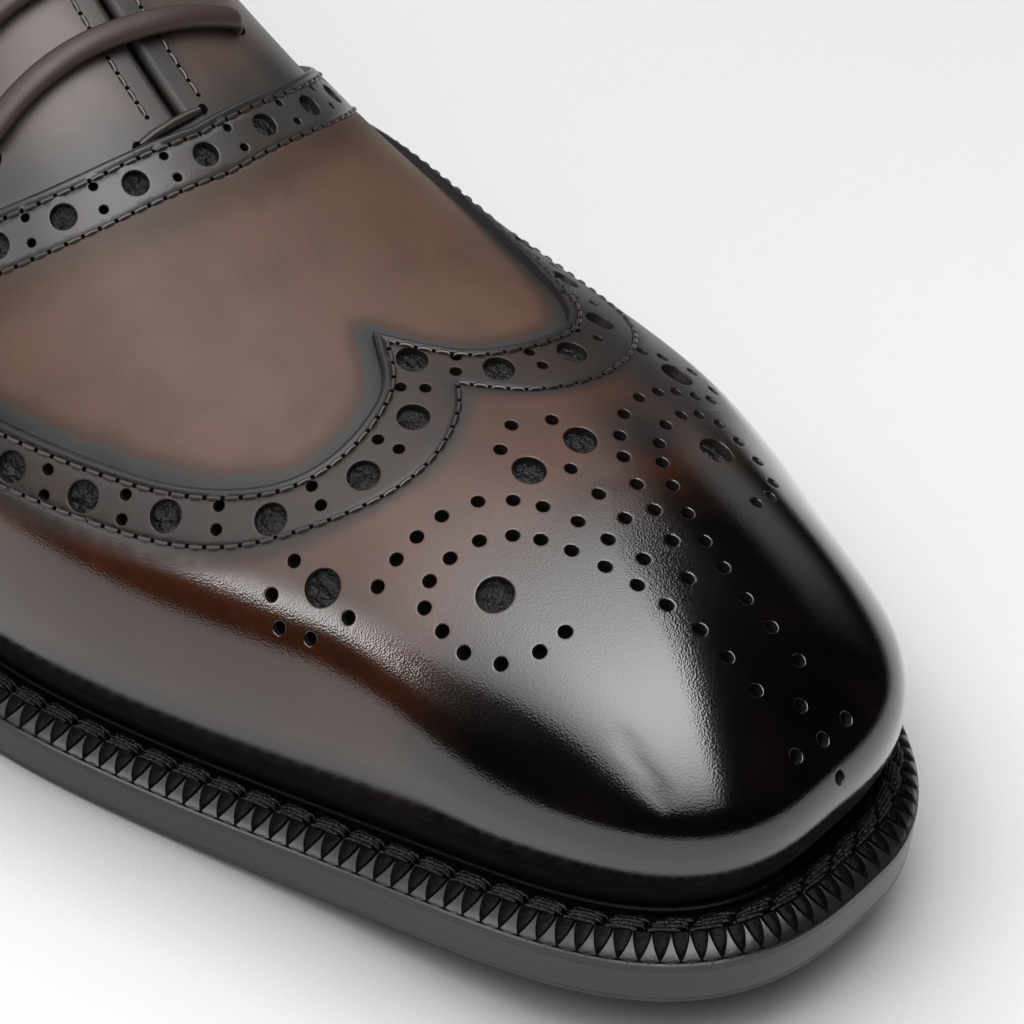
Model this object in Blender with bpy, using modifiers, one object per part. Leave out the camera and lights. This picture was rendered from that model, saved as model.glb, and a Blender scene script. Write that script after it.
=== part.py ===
"""Brogue oxford for the right foot: a wing-tip dress shoe on a welted leather sole.

The shoe stands on its sole, with +X to the toe, +Z up and the outer (lateral) side at -Y.
Every form comes from one last. Its sections give the half widths at the feather line, where
the upper meets the welt, the heights of that line and of the crest line over the instep, the
fullness of the section's corner and the bulge of its wall.

A place on the last has two coordinates. "along" is 0 to 1 round the heel, 1 to 2 from the heel
to the toe's root and 2 to 3 round the toe. "across" is an angle over the section: -90 degrees
at the lateral feather line, 0 on the crest and 90 degrees at the medial feather line.
"""
import math

import bmesh
import bpy
import numpy as np
from mathutils import Vector
from mathutils.geometry import delaunay_2d_cdt

MM = 0.001
MERGE_DISTANCE = 1e-6
QUARTER_TURN = math.pi / 2

# The last, in millimetres from the back of the heel
LAST_LENGTH = 292.0
HEEL_ROUND = 34.0
HEEL_SQUARENESS = 2.3
TOE_ROOT = 250.0
TOE_SQUARENESS = 2.85
TOE_SKEW = 0.10
TOE_SKEW_RUN = 62.0
BULGE_HEIGHT = 0.28
BULGE_WIDTH = 34.0
WAIST_LENGTH = TOE_ROOT - HEEL_ROUND
MEAN_RADIUS = 45.0
SECTION_COLUMNS = ("x", "lateral", "medial", "feather", "crest", "fullness", "bulge")
SECTIONS = (
    (0, 31.0, 31.0, 32.0, 122.0, 2.30, 3.5),
    (34, 31.5, 31.0, 31.0, 122.0, 2.30, 3.5),
    (75, 33.0, 28.5, 29.0, 121.0, 2.25, 2.5),
    (115, 36.5, 26.5, 21.5, 109.0, 2.15, 2.0),
    (150, 42.5, 32.0, 13.5, 89.5, 2.10, 2.0),
    (185, 50.0, 38.5, 9.6, 68.0, 2.20, 2.0),
    (212, 45.0, 43.0, 9.6, 54.5, 2.40, 1.8),
    (238, 36.0, 41.5, 10.8, 50.0, 2.65, 1.5),
    (262, 28.5, 35.0, 14.2, 46.0, 2.90, 1.2),
    (292, 23.5, 32.0, 19.0, 43.0, 3.10, 1.0),
)

# Leather: the outer face of the vamp lies on the last's own skin
GAP = 0.35
VAMP_THICKNESS = 1.0
WING_THICKNESS = 1.0
UPPER_WALL = 2.2
TONGUE_THICKNESS = 1.8
VAMP_LIFT = 0.0
WING_LIFT = VAMP_LIFT + GAP + WING_THICKNESS
UPPER_LIFT = VAMP_LIFT - VAMP_THICKNESS - GAP
TONGUE_GAP = 0.75
TONGUE_LIFT = UPPER_LIFT - UPPER_WALL - TONGUE_GAP

# Collar: height of the topline on each side
TOPLINE_COLUMNS = ("x", "lateral", "medial")
TOPLINE = (
    (0, 92, 92),
    (30, 86, 87),
    (60, 78, 80),
    (85, 81, 83),
    (105, 91, 92),
    (118, 101, 101),
    (126, 109, 109),
)
SLIT_FRONT = 181.0
SLIT_HALF_GAP = 1.5
SLIT_BACK = 116.0
COLLAR_CORNER_STATIONS = (112.0, 117.5, 119.5, 121.5)

# Rear edges of the overlays: x against the angle from the crest in degrees, the same on both sides
WING_EDGE = ((214, 0), (217, 3), (221.5, 7), (225, 16), (224.5, 27), (219, 38), (206, 47.5), (190, 54),
             (165, 67), (140, 90))
VAMP_EDGE = ((183, 0), (181.8, 7), (179.5, 20), (175, 33), (163, 52), (142, 70), (116, 90))
EDGE_POINTS_PER_SPAN = 4
EDGE_CLEARANCE = 2.2
CUT_TOLERANCE = 1e-5

# Tongue
TONGUE_FRONT = 206.0
TONGUE_BACK = 113.0
TONGUE_HALF_ANGLE = math.radians(30)
TONGUE_END_RUN = 22.0
TONGUE_END_NARROWING = 0.35
TONGUE_ROWS = 7

# Sole: heights measured down from the feather line, offsets outward from it
MARGIN_COLUMNS = ("x", "margin")
MARGINS = ((0, 3.0), (34, 3.2), (75, 3.4), (115, 3.8), (150, 5.5), (190, 7.0), (230, 7.5), (262, 7.8),
           (300, 8.2))
WELT_TOP = -0.5
WELT_THICKNESS = 2.7
WELT_INSET = 4.0
NOTCH_PITCH = 2.6
NOTCH_DEPTH = 1.2
NOTCH_DROP = 1.0
NOTCHED_FROM = 80.0
PLAIN_PITCH = 9.0
SOLE_GAP = 0.3
SOLE_TOP = WELT_TOP - WELT_THICKNESS - SOLE_GAP
SOLE_TREAD = -9.6
SOLE_EDGE_INSET = 0.4
SOLE_EDGE_BEVEL = 0.7
FILLER_TOP = -0.4
FILLER_INSET = WELT_INSET + 0.4
INSOLE_BOTTOM = -0.1
INSOLE_TOP = 2.6
INSOLE_INSET = 4.1

# Heel
HEEL_BREAST = 78.0
HEEL_INSET_TOP = 0.7
HEEL_INSET_FLOOR = 2.2
TOP_LIFT = 6.0

# Lace: straight bars over the slit
LACE_FIRST = 169.0
LACE_PITCH = 10.0
LACE_BARS = 5
LACE_REACH = 18.5
LACE_WIDTH = 3.7
LACE_THICKNESS = 2.2
LACE_STATIONS = 9
LACE_SIDES = 8
LACE_PROBE = 0.002

# Fineness of the faceted forms
HEEL_STEPS = 7
WAIST_STEPS = 24
TOE_STEPS = 9
SIDE_ROWS = 9

# Colours (linear), roughness
BROWN = (0.060, 0.024, 0.015, 1)
DARK_BROWN = (0.030, 0.013, 0.009, 1)
LINING_TAN = (0.22, 0.115, 0.055, 1)
EDGE_BLACK = (0.012, 0.010, 0.009, 1)
LACE_BROWN = (0.045, 0.022, 0.016, 1)

OBJECT_NAME = "brogue_oxford"


def natural_spline(knots, values):
    """Return the natural cubic spline through the knots as a function."""
    knots = np.asarray(knots, float)
    values = np.asarray(values, float)
    spans = np.diff(knots)
    size = len(knots)
    system = np.eye(size)
    target = np.zeros(size)
    for i in range(1, size - 1):
        system[i, i - 1:i + 2] = spans[i - 1], 2 * (spans[i - 1] + spans[i]), spans[i]
        target[i] = 6 * ((values[i + 1] - values[i]) / spans[i] - (values[i] - values[i - 1]) / spans[i - 1])
    bend = np.linalg.solve(system, target)

    def at(x):
        x = np.asarray(x, float)
        i = np.clip(np.searchsorted(knots, x) - 1, 0, size - 2)
        before = x - knots[i]
        after = knots[i + 1] - x
        span = spans[i]
        curve = (bend[i] * after**3 + bend[i + 1] * before**3) / (6 * span)
        line = (values[i] / span - bend[i] * span / 6) * after
        return curve + line + (values[i + 1] / span - bend[i + 1] * span / 6) * before

    return at


def table_splines(columns, rows):
    """Return one spline over x for each other column of a table."""
    table = np.asarray(rows, float)
    return {name: natural_spline(table[:, 0], table[:, i]) for i, name in enumerate(columns) if i}


SECTION = table_splines(SECTION_COLUMNS, SECTIONS)
TOPLINE_HEIGHT = table_splines(TOPLINE_COLUMNS, TOPLINE)
SOLE_MARGIN = table_splines(MARGIN_COLUMNS, MARGINS)["margin"]


def axis_y(x):
    """Return y of the last's middle line."""
    return (SECTION["medial"](x) - SECTION["lateral"](x)) / 2


def half_width(x):
    """Return half the last's width at the feather line."""
    return (SECTION["medial"](x) + SECTION["lateral"](x)) / 2


def plan_point(along, side, reach):
    """Return x and y for a reach of 0 on the axis to 1 at the edge, round the heel, sides and toe."""
    heel_angle = np.clip(along, 0, 1) * QUARTER_TURN
    toe_angle = np.clip(along - 2, 0, 1) * QUARTER_TURN
    heel_x = HEEL_ROUND * (1 - reach * np.cos(heel_angle) ** (2 / HEEL_SQUARENESS))
    toe_x = TOE_ROOT + (LAST_LENGTH - TOE_ROOT) * reach * np.sin(toe_angle) ** (2 / TOE_SQUARENESS)
    waist_x = HEEL_ROUND + WAIST_LENGTH * (along - 1)
    x = np.where(along < 1, heel_x, np.where(along > 2, toe_x, waist_x))
    heel_share = np.sin(heel_angle) ** (2 / HEEL_SQUARENESS)
    toe_share = np.clip(np.cos(toe_angle), 0, 1) ** (2 / TOE_SQUARENESS)
    share = reach * np.where(along < 1, heel_share, np.where(along > 2, toe_share, 1.0))
    return x, axis_y(x) + side * share * half_width(x)


def last_point(along, across):
    """Return points of the last's skin, in millimetres."""
    along, across = np.broadcast_arrays(np.asarray(along, float), np.asarray(across, float))
    side = np.where(across < 0, -1.0, 1.0)
    level = np.clip(np.cos(across), 0, 1)
    outness = np.clip(np.abs(np.sin(across)), 0, 1)
    x, _ = plan_point(along, side, outness)
    fullness = SECTION["fullness"](np.clip(x, 0, LAST_LENGTH))
    reach = outness ** (2 / fullness)
    height = level ** (2 / fullness)
    x, _ = plan_point(along, side, reach)
    x = np.clip(x, 0, LAST_LENGTH)
    feather = SECTION["feather"](x)
    z = feather + (SECTION["crest"](x) - feather) * height
    swell = height / BULGE_HEIGHT * np.exp(1 - height / BULGE_HEIGHT)
    swell = swell * SECTION["bulge"](x) / BULGE_WIDTH * np.clip(reach / 0.02, 0, 1)
    x, y = plan_point(along, side, reach + swell)
    run = np.clip((x - (LAST_LENGTH - TOE_SKEW_RUN)) / TOE_SKEW_RUN, 0, 1)
    x = x + TOE_SKEW * (axis_y(x) - y) * run * run * (3 - 2 * run)
    return np.stack([x, y, z], -1)


def along_at(x):
    """Return the along coordinate of a section between heel and toe."""
    return 1 + (x - HEEL_ROUND) / WAIST_LENGTH


def across_at_girth(along, side, girth):
    """Return the across angle that lies a given girth below the crest."""
    angles = np.linspace(0, QUARTER_TURN, 120)
    points = last_point(along, side * angles)
    lengths = np.concatenate([[0], np.cumsum(np.linalg.norm(np.diff(points, axis=0), axis=1))])
    return side * np.interp(girth, lengths, angles)


def across_at_height(along, side, height):
    """Return the across angle where the skin reaches a height."""
    angles = np.linspace(QUARTER_TURN, 0, 160)
    heights = last_point(along, side * angles)[:, 2]
    return side * np.interp(height, heights, angles)


def feather_loop(stations, offset):
    """Return the closed loop of the feather line, offset outward in plan by a function of x."""
    lateral = last_point(stations, np.full(len(stations), -QUARTER_TURN))
    medial = last_point(stations[::-1], np.full(len(stations), QUARTER_TURN))
    loop = np.concatenate([lateral, medial[1:-1]])
    run = np.roll(loop, -1, axis=0) - np.roll(loop, 1, axis=0)
    outward = np.stack([run[:, 1], -run[:, 0]], -1)
    outward /= np.linalg.norm(outward, axis=1)[:, None]
    moved = loop.copy()
    moved[:, :2] += outward * offset(loop[:, 0])[:, None]
    return moved


def inset(distance):
    """Return a constant offset inward."""
    return lambda x: np.full(np.shape(x), -float(distance))


def sole_margin(less=0.0):
    """Return the sole's offset beyond the feather line, less a constant."""
    return lambda x: SOLE_MARGIN(x) - less


def stations_between(first, last, steps):
    """Return evenly spaced along coordinates."""
    return np.linspace(first, last, steps + 1)


UPPER_STATIONS = np.sort(np.concatenate([
    stations_between(0, 1, HEEL_STEPS),
    stations_between(1, 2, WAIST_STEPS)[1:],
    stations_between(2, 3, TOE_STEPS)[1:],
    along_at(np.array(COLLAR_CORNER_STATIONS)),
]))
BREAST_ALONG = along_at(HEEL_BREAST)
HEEL_STATIONS = stations_between(0, BREAST_ALONG, 12)
SOLE_STATIONS = np.concatenate([
    HEEL_STATIONS,
    stations_between(BREAST_ALONG, 2, 17)[1:],
    stations_between(2, 3, 12)[1:],
])


def object_origin():
    """Return the point below the middle of the sole's box, which becomes the origin."""
    loop = feather_loop(stations_between(0, 3, 300), sole_margin())
    low = loop.min(axis=0)
    high = loop.max(axis=0)
    return np.array([(low[0] + high[0]) / 2, (low[1] + high[1]) / 2, 0.0])


ORIGIN = object_origin()


def clear_scene():
    """Remove every object that the file starts with."""
    for obj in list(bpy.data.objects):
        bpy.data.objects.remove(obj, do_unlink=True)


def leather(name, colour, roughness):
    """Return a plain Principled material."""
    material = bpy.data.materials.new(name)
    material.use_nodes = True
    shader = material.node_tree.nodes["Principled BSDF"]
    shader.inputs["Base Color"].default_value = colour
    shader.inputs["Roughness"].default_value = roughness
    shader.inputs["Metallic"].default_value = 0.0
    return material


def add_object(name, points, faces, material, collection):
    """Make a mesh object from millimetre points, with doubled points merged and faces out."""
    mesh = bpy.data.meshes.new(name)
    mesh.from_pydata(((np.asarray(points) - ORIGIN) * MM).tolist(), [], faces)
    bm = bmesh.new()
    bm.from_mesh(mesh)
    bmesh.ops.remove_doubles(bm, verts=bm.verts, dist=MERGE_DISTANCE)
    bmesh.ops.dissolve_degenerate(bm, edges=bm.edges, dist=MERGE_DISTANCE)
    bmesh.ops.recalc_face_normals(bm, faces=bm.faces)
    bm.to_mesh(mesh)
    bm.free()
    mesh.shade_smooth()
    mesh.set_sharp_from_angle(angle=math.radians(35))
    mesh.materials.append(material)
    obj = bpy.data.objects.new(name, mesh)
    collection.objects.link(obj)
    return obj


def turn_outward(obj):
    """Flip an open skin whose crown faces down."""
    mesh = obj.data
    highest = max(mesh.polygons, key=lambda face: face.center.z)
    if highest.normal.z < 0:
        mesh.flip_normals()


def add_shell(name, points, faces, lift, thickness, material, collection):
    """Make a leather sheet: an open skin on the last, lifted off it and thickened inward."""
    obj = add_object(name, points, faces, material, collection)
    turn_outward(obj)
    lifting = obj.modifiers.new("lift", "DISPLACE")
    lifting.mid_level = 0.0
    lifting.strength = lift * MM
    wall = obj.modifiers.new("wall", "SOLIDIFY")
    wall.thickness = thickness * MM
    wall.offset = -1.0
    return obj


def grid_faces(columns, rows, start=0):
    """Return the quads of a grid whose points run column by column."""
    faces = []
    for i in range(columns - 1):
        for j in range(rows - 1):
            corner = start + i * rows + j
            faces.append((corner, corner + rows, corner + rows + 1, corner + 1))
    return faces


def top_edge(along, side):
    """Return the across angle of the upper's top edge: crest, slit or collar."""
    x = float(last_point(along, side * QUARTER_TURN)[0])
    if along > along_at(SLIT_FRONT) - 1e-6:
        return 0.0
    angles = [0.0]
    if x > SLIT_BACK:
        angles.append(abs(across_at_girth(along, side, SLIT_HALF_GAP)))
    name = "lateral" if side < 0 else "medial"
    if x < TOPLINE[-1][0]:
        angles.append(abs(across_at_height(along, side, float(TOPLINE_HEIGHT[name](x)))))
    return max(angles)


def build_upper(material, collection):
    """Quarters and lining as one hollow shell, open at collar, slit and bottom."""
    rows = SIDE_ROWS + 1
    points = []
    faces = []
    for side in (-1.0, 1.0):
        start = len(points)
        for along in UPPER_STATIONS:
            across = side * np.linspace(QUARTER_TURN, top_edge(along, side), rows)
            column = last_point(along, across)
            points.extend(column)
        quads = grid_faces(len(UPPER_STATIONS), rows, start)
        faces.extend(quads if side < 0 else [tuple(reversed(quad)) for quad in quads])
    add_shell("upper", points, faces, UPPER_LIFT, UPPER_WALL, material, collection)


def edge_curve(rows):
    """Return an overlay's rear edge from lateral to medial, as (along, across) pairs."""
    table = np.asarray(rows, float)
    steps = np.concatenate([[0], np.cumsum(np.hypot(np.diff(table[:, 0]), np.diff(table[:, 1])))])
    fine = np.linspace(0, steps[-1], (len(rows) - 1) * EDGE_POINTS_PER_SPAN + 1)
    x = natural_spline(steps, table[:, 0])(fine)
    angle = np.radians(natural_spline(steps, table[:, 1])(fine))
    angle = np.clip(angle, 0, QUARTER_TURN)
    angle[0] = 0.0
    angle[-1] = QUARTER_TURN
    along = along_at(x)
    lateral = np.stack([along[::-1], -angle[::-1]], -1)
    medial = np.stack([along, angle], -1)
    return np.concatenate([lateral, medial[1:]])


def inside_polygon(point, polygon):
    """Tell whether a flat point lies inside a closed polygon."""
    x, y = point
    inside = False
    for (x0, y0), (x1, y1) in zip(polygon, np.roll(polygon, -1, axis=0)):
        if (y0 > y) != (y1 > y) and x < x0 + (y - y0) * (x1 - x0) / (y1 - y0):
            inside = not inside
    return inside


def overlay_panel(edge):
    """Return points and faces of the skin in front of an edge curve, cut along that curve."""
    angles = np.linspace(-QUARTER_TURN, QUARTER_TURN, 2 * SIDE_ROWS + 1)
    waist = [along for along in UPPER_STATIONS if 1 <= along <= 2]
    lateral_foot = [(along, -QUARTER_TURN) for along in waist if along > edge[0][0] + 0.01]
    medial_foot = [(along, QUARTER_TURN) for along in waist if along > edge[-1][0] + 0.01]
    front = [(2.0, angle) for angle in angles[1:-1]]
    rim = np.array(list(edge) + medial_foot + front[::-1] + lateral_foot[::-1])
    edge_points = last_point(edge[:, 0], edge[:, 1])
    inner = {}
    for i, along in enumerate(waist[:-1]):
        for j in range(1, len(angles) - 1):
            spot = (along, angles[j])
            near = np.linalg.norm(edge_points - last_point(*spot), axis=1).min()
            if near > EDGE_CLEARANCE and inside_polygon(spot, rim):
                inner[(i, j)] = len(rim) + len(inner)
    flat = [tuple(spot) for spot in rim] + [(waist[i], angles[j]) for i, j in inner]
    edges = [(k, (k + 1) % len(rim)) for k in range(len(rim))]
    for (i, j), index in inner.items():
        edges += [(index, inner[spot]) for spot in ((i + 1, j), (i, j + 1)) if spot in inner]
    scaled = [Vector((along * WAIST_LENGTH, angle * MEAN_RADIUS)) for along, angle in flat]
    vertices, _, triangles, *_ = delaunay_2d_cdt(scaled, edges, [], 0, CUT_TOLERANCE)
    spots = np.array([(v.x / WAIST_LENGTH, v.y / MEAN_RADIUS) for v in vertices])
    faces = [tuple(face) for face in triangles if inside_polygon(spots[list(face)].mean(axis=0), rim)]
    points = list(last_point(spots[:, 0], spots[:, 1]))
    toe = [along for along in UPPER_STATIONS if along >= 2]
    for side in (-1.0, 1.0):
        start = len(points)
        for along in toe:
            points.extend(last_point(along, side * np.linspace(QUARTER_TURN, 0, SIDE_ROWS + 1)))
        faces += grid_faces(len(toe), SIDE_ROWS + 1, start)
    return points, faces


def build_overlay(name, edge_rows, lift, thickness, material, collection):
    """A leather panel that covers the front of the shoe up to its rear edge."""
    points, faces = overlay_panel(edge_curve(edge_rows))
    add_shell(name, points, faces, lift, thickness, material, collection)


def build_tongue(material, collection):
    """A leaf under the slit, narrowed and rounded at its free end."""
    first = along_at(TONGUE_BACK)
    last = along_at(TONGUE_FRONT)
    between = [along for along in UPPER_STATIONS if first + 0.01 < along < last - 0.01]
    columns = [first, *between, last]
    points = []
    for along in columns:
        to_end = min((along - first) * WAIST_LENGTH / TONGUE_END_RUN, 1.0)
        narrowing = TONGUE_END_NARROWING * (1 - math.sqrt(1 - (1 - to_end) ** 2))
        half_angle = TONGUE_HALF_ANGLE * (1 - narrowing)
        points.extend(last_point(along, np.linspace(-half_angle, half_angle, TONGUE_ROWS)))
    faces = grid_faces(len(columns), TONGUE_ROWS)
    add_shell("tongue", points, faces, TONGUE_LIFT, TONGUE_THICKNESS, material, collection)


def with_height(loop, rise):
    """Return a loop moved up or down from the feather line, never below the floor."""
    moved = loop.copy()
    moved[:, 2] = np.maximum(loop[:, 2] + rise, 0.0)
    return moved


def loft_loops(loops, capped=True):
    """Return points and faces through closed loops of equal count, capped by strips across."""
    count = len(loops[0])
    points = np.concatenate(loops)
    faces = []
    for base in range(0, (len(loops) - 1) * count, count):
        for k in range(count):
            after = (k + 1) % count
            faces.append((base + k, base + after, base + count + after, base + count + k))
    if capped:
        for base in (0, (len(loops) - 1) * count):
            for i in range(count // 2):
                corners = (i, i + 1, (count - i - 1) % count, (count - i) % count)
                faces.append(tuple(base + corner for corner in dict.fromkeys(corners)))
    return points, faces


def build_outsole(material, collection):
    """Leather sole: a raised filler inside the welt, a ledge under the welt, the edge and the tread."""
    filler = feather_loop(SOLE_STATIONS, inset(FILLER_INSET))
    ledge = feather_loop(SOLE_STATIONS, sole_margin(SOLE_EDGE_INSET))
    bevel = feather_loop(SOLE_STATIONS, sole_margin(SOLE_EDGE_INSET + SOLE_EDGE_BEVEL))
    loops = [
        with_height(filler, FILLER_TOP),
        with_height(filler, SOLE_TOP),
        with_height(ledge, SOLE_TOP),
        with_height(ledge, SOLE_TREAD + SOLE_EDGE_BEVEL),
        with_height(bevel, SOLE_TREAD),
    ]
    points, faces = loft_loops(loops)
    add_object("outsole", points, faces, material, collection)


def build_insole(material, collection):
    """Leather board that closes the bottom of the upper."""
    loop = feather_loop(SOLE_STATIONS, inset(INSOLE_INSET))
    points, faces = loft_loops([with_height(loop, INSOLE_TOP), with_height(loop, INSOLE_BOTTOM)])
    add_object("insole", points, faces, material, collection)


def welt_stations():
    """Return along coordinates of the welt: two a notch in front of the heel, coarser round it."""
    fine = stations_between(0, 3, 3000)
    lateral = last_point(fine, np.full(len(fine), -QUARTER_TURN))
    lengths = np.concatenate([[0], np.cumsum(np.linalg.norm(np.diff(lateral, axis=0), axis=1))])
    breast = np.interp(along_at(NOTCHED_FROM), fine, lengths)
    heel_count = int(round(breast / PLAIN_PITCH))
    notch_count = int(round((lengths[-1] - breast) / NOTCH_PITCH))
    heel = np.linspace(0, breast, heel_count + 1)
    notched = np.linspace(breast, lengths[-1], 2 * notch_count + 1)
    return np.interp(np.concatenate([heel, notched[1:]]), lengths, fine), heel_count


def build_welt(material, collection):
    """Strip round the feather line, its outer upper edge wheeled into notches."""
    stations, heel_count = welt_stations()
    inner = feather_loop(stations, inset(WELT_INSET))
    outer = feather_loop(stations, sole_margin())
    notch = feather_loop(stations, sole_margin(NOTCH_DEPTH))
    top = with_height(outer, WELT_TOP)
    valley = with_height(notch, WELT_TOP - NOTCH_DROP)
    count = len(stations)
    for k in range(len(top)):
        station = k if k < count else 2 * (count - 1) - k
        if station > heel_count and (station - heel_count) % 2 == 1:
            top[k] = valley[k]
    floor = WELT_TOP - WELT_THICKNESS
    loops = [with_height(inner, WELT_TOP), top, with_height(outer, floor), with_height(inner, floor)]
    loops.append(loops[0])
    points, faces = loft_loops(loops, capped=False)
    add_object("welt", points, faces, material, collection)


def heel_loop(less):
    """Return the heel's outline: the sole's outline behind the breast, less an inset."""
    loop = feather_loop(SOLE_STATIONS, sole_margin(less))
    behind = len(HEEL_STATIONS)
    return np.concatenate([loop[:behind], loop[-behind + 1:]])


def build_heel(stack_material, lift_material, collection):
    """Stacked heel under the seat and its wearing piece on the floor."""
    top = with_height(heel_loop(HEEL_INSET_TOP), SOLE_TREAD - SOLE_GAP)
    share = (TOP_LIFT + SOLE_GAP) / float(SECTION["feather"](0.0) + SOLE_TREAD)
    foot = heel_loop(HEEL_INSET_FLOOR)
    middle = heel_loop(HEEL_INSET_FLOOR + share * (HEEL_INSET_TOP - HEEL_INSET_FLOOR))
    middle[:, 2] = TOP_LIFT + SOLE_GAP
    points, faces = loft_loops([top, middle])
    add_object("heel_stack", points, faces, stack_material, collection)
    lift_top = middle.copy()
    lift_top[:, 2] = TOP_LIFT
    foot[:, 2] = 0.0
    points, faces = loft_loops([lift_top, foot])
    add_object("heel_top_lift", points, faces, lift_material, collection)


def build_lace_bar(name, x, material, collection):
    """One flat round bar of lace from eyelet to eyelet, just above the quarters."""
    along = along_at(x)
    shares = np.linspace(-1, 1, LACE_STATIONS)
    across = np.array([across_at_girth(along, -1.0 if s < 0 else 1.0, abs(s) * LACE_REACH) for s in shares])
    path = last_point(along, across)
    tangent = np.gradient(path, axis=0)
    tangent /= np.linalg.norm(tangent, axis=1)[:, None]
    forward = last_point(along + LACE_PROBE, across) - last_point(along - LACE_PROBE, across)
    forward -= tangent * (forward * tangent).sum(axis=1)[:, None]
    forward /= np.linalg.norm(forward, axis=1)[:, None]
    outward = np.cross(forward, tangent)
    path = path + outward * (UPPER_LIFT + GAP + LACE_THICKNESS / 2)
    turns = np.arange(LACE_SIDES) * 2 * math.pi / LACE_SIDES + math.pi / LACE_SIDES
    points = []
    for i in range(LACE_STATIONS):
        for turn in turns:
            spread = LACE_WIDTH / 2 * math.cos(turn)
            rise = LACE_THICKNESS / 2 * math.sin(turn)
            points.append(path[i] + forward[i] * spread + outward[i] * rise)
    faces = []
    for i in range(LACE_STATIONS - 1):
        for k in range(LACE_SIDES):
            after = (k + 1) % LACE_SIDES
            base = i * LACE_SIDES
            faces.append((base + k, base + after, base + LACE_SIDES + after, base + LACE_SIDES + k))
    faces.append(tuple(range(LACE_SIDES)))
    faces.append(tuple(range(len(points) - LACE_SIDES, len(points))))
    add_object(name, points, faces, material, collection)


def build_shoe():
    """Build every sub-part of the shoe."""
    clear_scene()
    collection = bpy.data.collections.new(OBJECT_NAME)
    bpy.context.scene.collection.children.link(collection)
    quarter_leather = leather("quarter_leather", BROWN, 0.35)
    build_upper(quarter_leather, collection)
    build_overlay("vamp", VAMP_EDGE, VAMP_LIFT, VAMP_THICKNESS,
                  leather("vamp_leather", BROWN, 0.35), collection)
    build_overlay("wing_cap", WING_EDGE, WING_LIFT, WING_THICKNESS,
                  leather("wing_leather", DARK_BROWN, 0.25), collection)
    build_tongue(leather("tongue_leather", DARK_BROWN, 0.45), collection)
    build_insole(leather("insole_leather", LINING_TAN, 0.6), collection)
    build_welt(leather("welt_leather", EDGE_BLACK, 0.4), collection)
    build_outsole(leather("outsole_leather", EDGE_BLACK, 0.35), collection)
    build_heel(leather("heel_leather", EDGE_BLACK, 0.35),
               leather("top_lift_rubber", EDGE_BLACK, 0.7), collection)
    lace = leather("lace_cotton", LACE_BROWN, 0.5)
    for bar in range(LACE_BARS):
        build_lace_bar(f"lace_bar_{bar + 1}", LACE_FIRST - bar * LACE_PITCH, lace, collection)


build_shoe()
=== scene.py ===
"""Looks of the brogue oxford: fine leather panels, broguing, stitching, welt and sole on its solids.

A place on the last has two coordinates. "along" is 0 to 1 round the heel, 1 to 2 from the heel to
the toe's root and 2 to 3 round the toe. "across" is an angle over the section, from -90 degrees at
the lateral feather line over 0 on the crest to 90 degrees at the medial one.

The panels are cut flat, as on a bench. A flat point is (x, girth): x from the back of the heel,
girth down from the crest, negative on the lateral side. In front of the toe's root the flat plane
is polar about that root.
"""

import math

import bpy
import numpy as np
from mathutils import Matrix, Vector
from mathutils.geometry import delaunay_2d_cdt


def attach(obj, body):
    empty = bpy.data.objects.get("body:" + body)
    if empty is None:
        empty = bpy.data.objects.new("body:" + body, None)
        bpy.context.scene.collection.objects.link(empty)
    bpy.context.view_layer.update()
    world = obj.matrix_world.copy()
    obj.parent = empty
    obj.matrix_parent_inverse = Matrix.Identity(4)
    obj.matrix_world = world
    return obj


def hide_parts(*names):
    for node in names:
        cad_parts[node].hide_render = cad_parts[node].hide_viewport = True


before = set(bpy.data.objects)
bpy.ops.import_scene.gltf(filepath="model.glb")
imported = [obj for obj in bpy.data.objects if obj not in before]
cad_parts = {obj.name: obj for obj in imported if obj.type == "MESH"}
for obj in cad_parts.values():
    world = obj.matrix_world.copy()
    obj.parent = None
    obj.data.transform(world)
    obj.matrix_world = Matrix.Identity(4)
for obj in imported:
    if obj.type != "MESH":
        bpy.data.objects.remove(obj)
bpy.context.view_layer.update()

MM = 0.001
QUARTER_TURN = math.pi / 2

# The last, in millimetres from the back of the heel
LAST_LENGTH = 292.0
HEEL_ROUND = 34.0
HEEL_SQUARENESS = 2.3
TOE_ROOT = 250.0
TOE_SQUARENESS = 2.85
TOE_SKEW = 0.10
TOE_SKEW_RUN = 62.0
TOE_LENGTH = LAST_LENGTH - TOE_ROOT
BULGE_HEIGHT = 0.28
BULGE_WIDTH = 34.0
WAIST_LENGTH = TOE_ROOT - HEEL_ROUND
SECTION_COLUMNS = ("x", "lateral", "medial", "feather", "crest", "fullness", "bulge")
SECTIONS = (
    (0, 31.0, 31.0, 32.0, 122.0, 2.30, 3.5),
    (34, 31.5, 31.0, 31.0, 122.0, 2.30, 3.5),
    (75, 33.0, 28.5, 29.0, 121.0, 2.25, 2.5),
    (115, 36.5, 26.5, 21.5, 109.0, 2.15, 2.0),
    (150, 42.5, 32.0, 13.5, 89.5, 2.10, 2.0),
    (185, 50.0, 38.5, 9.6, 68.0, 2.20, 2.0),
    (212, 45.0, 43.0, 9.6, 54.5, 2.40, 1.8),
    (238, 36.0, 41.5, 10.8, 50.0, 2.65, 1.5),
    (262, 28.5, 35.0, 14.2, 46.0, 2.90, 1.2),
    (292, 23.5, 32.0, 19.0, 43.0, 3.10, 1.0),
)
TOPLINE_COLUMNS = ("x", "lateral", "medial")
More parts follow.
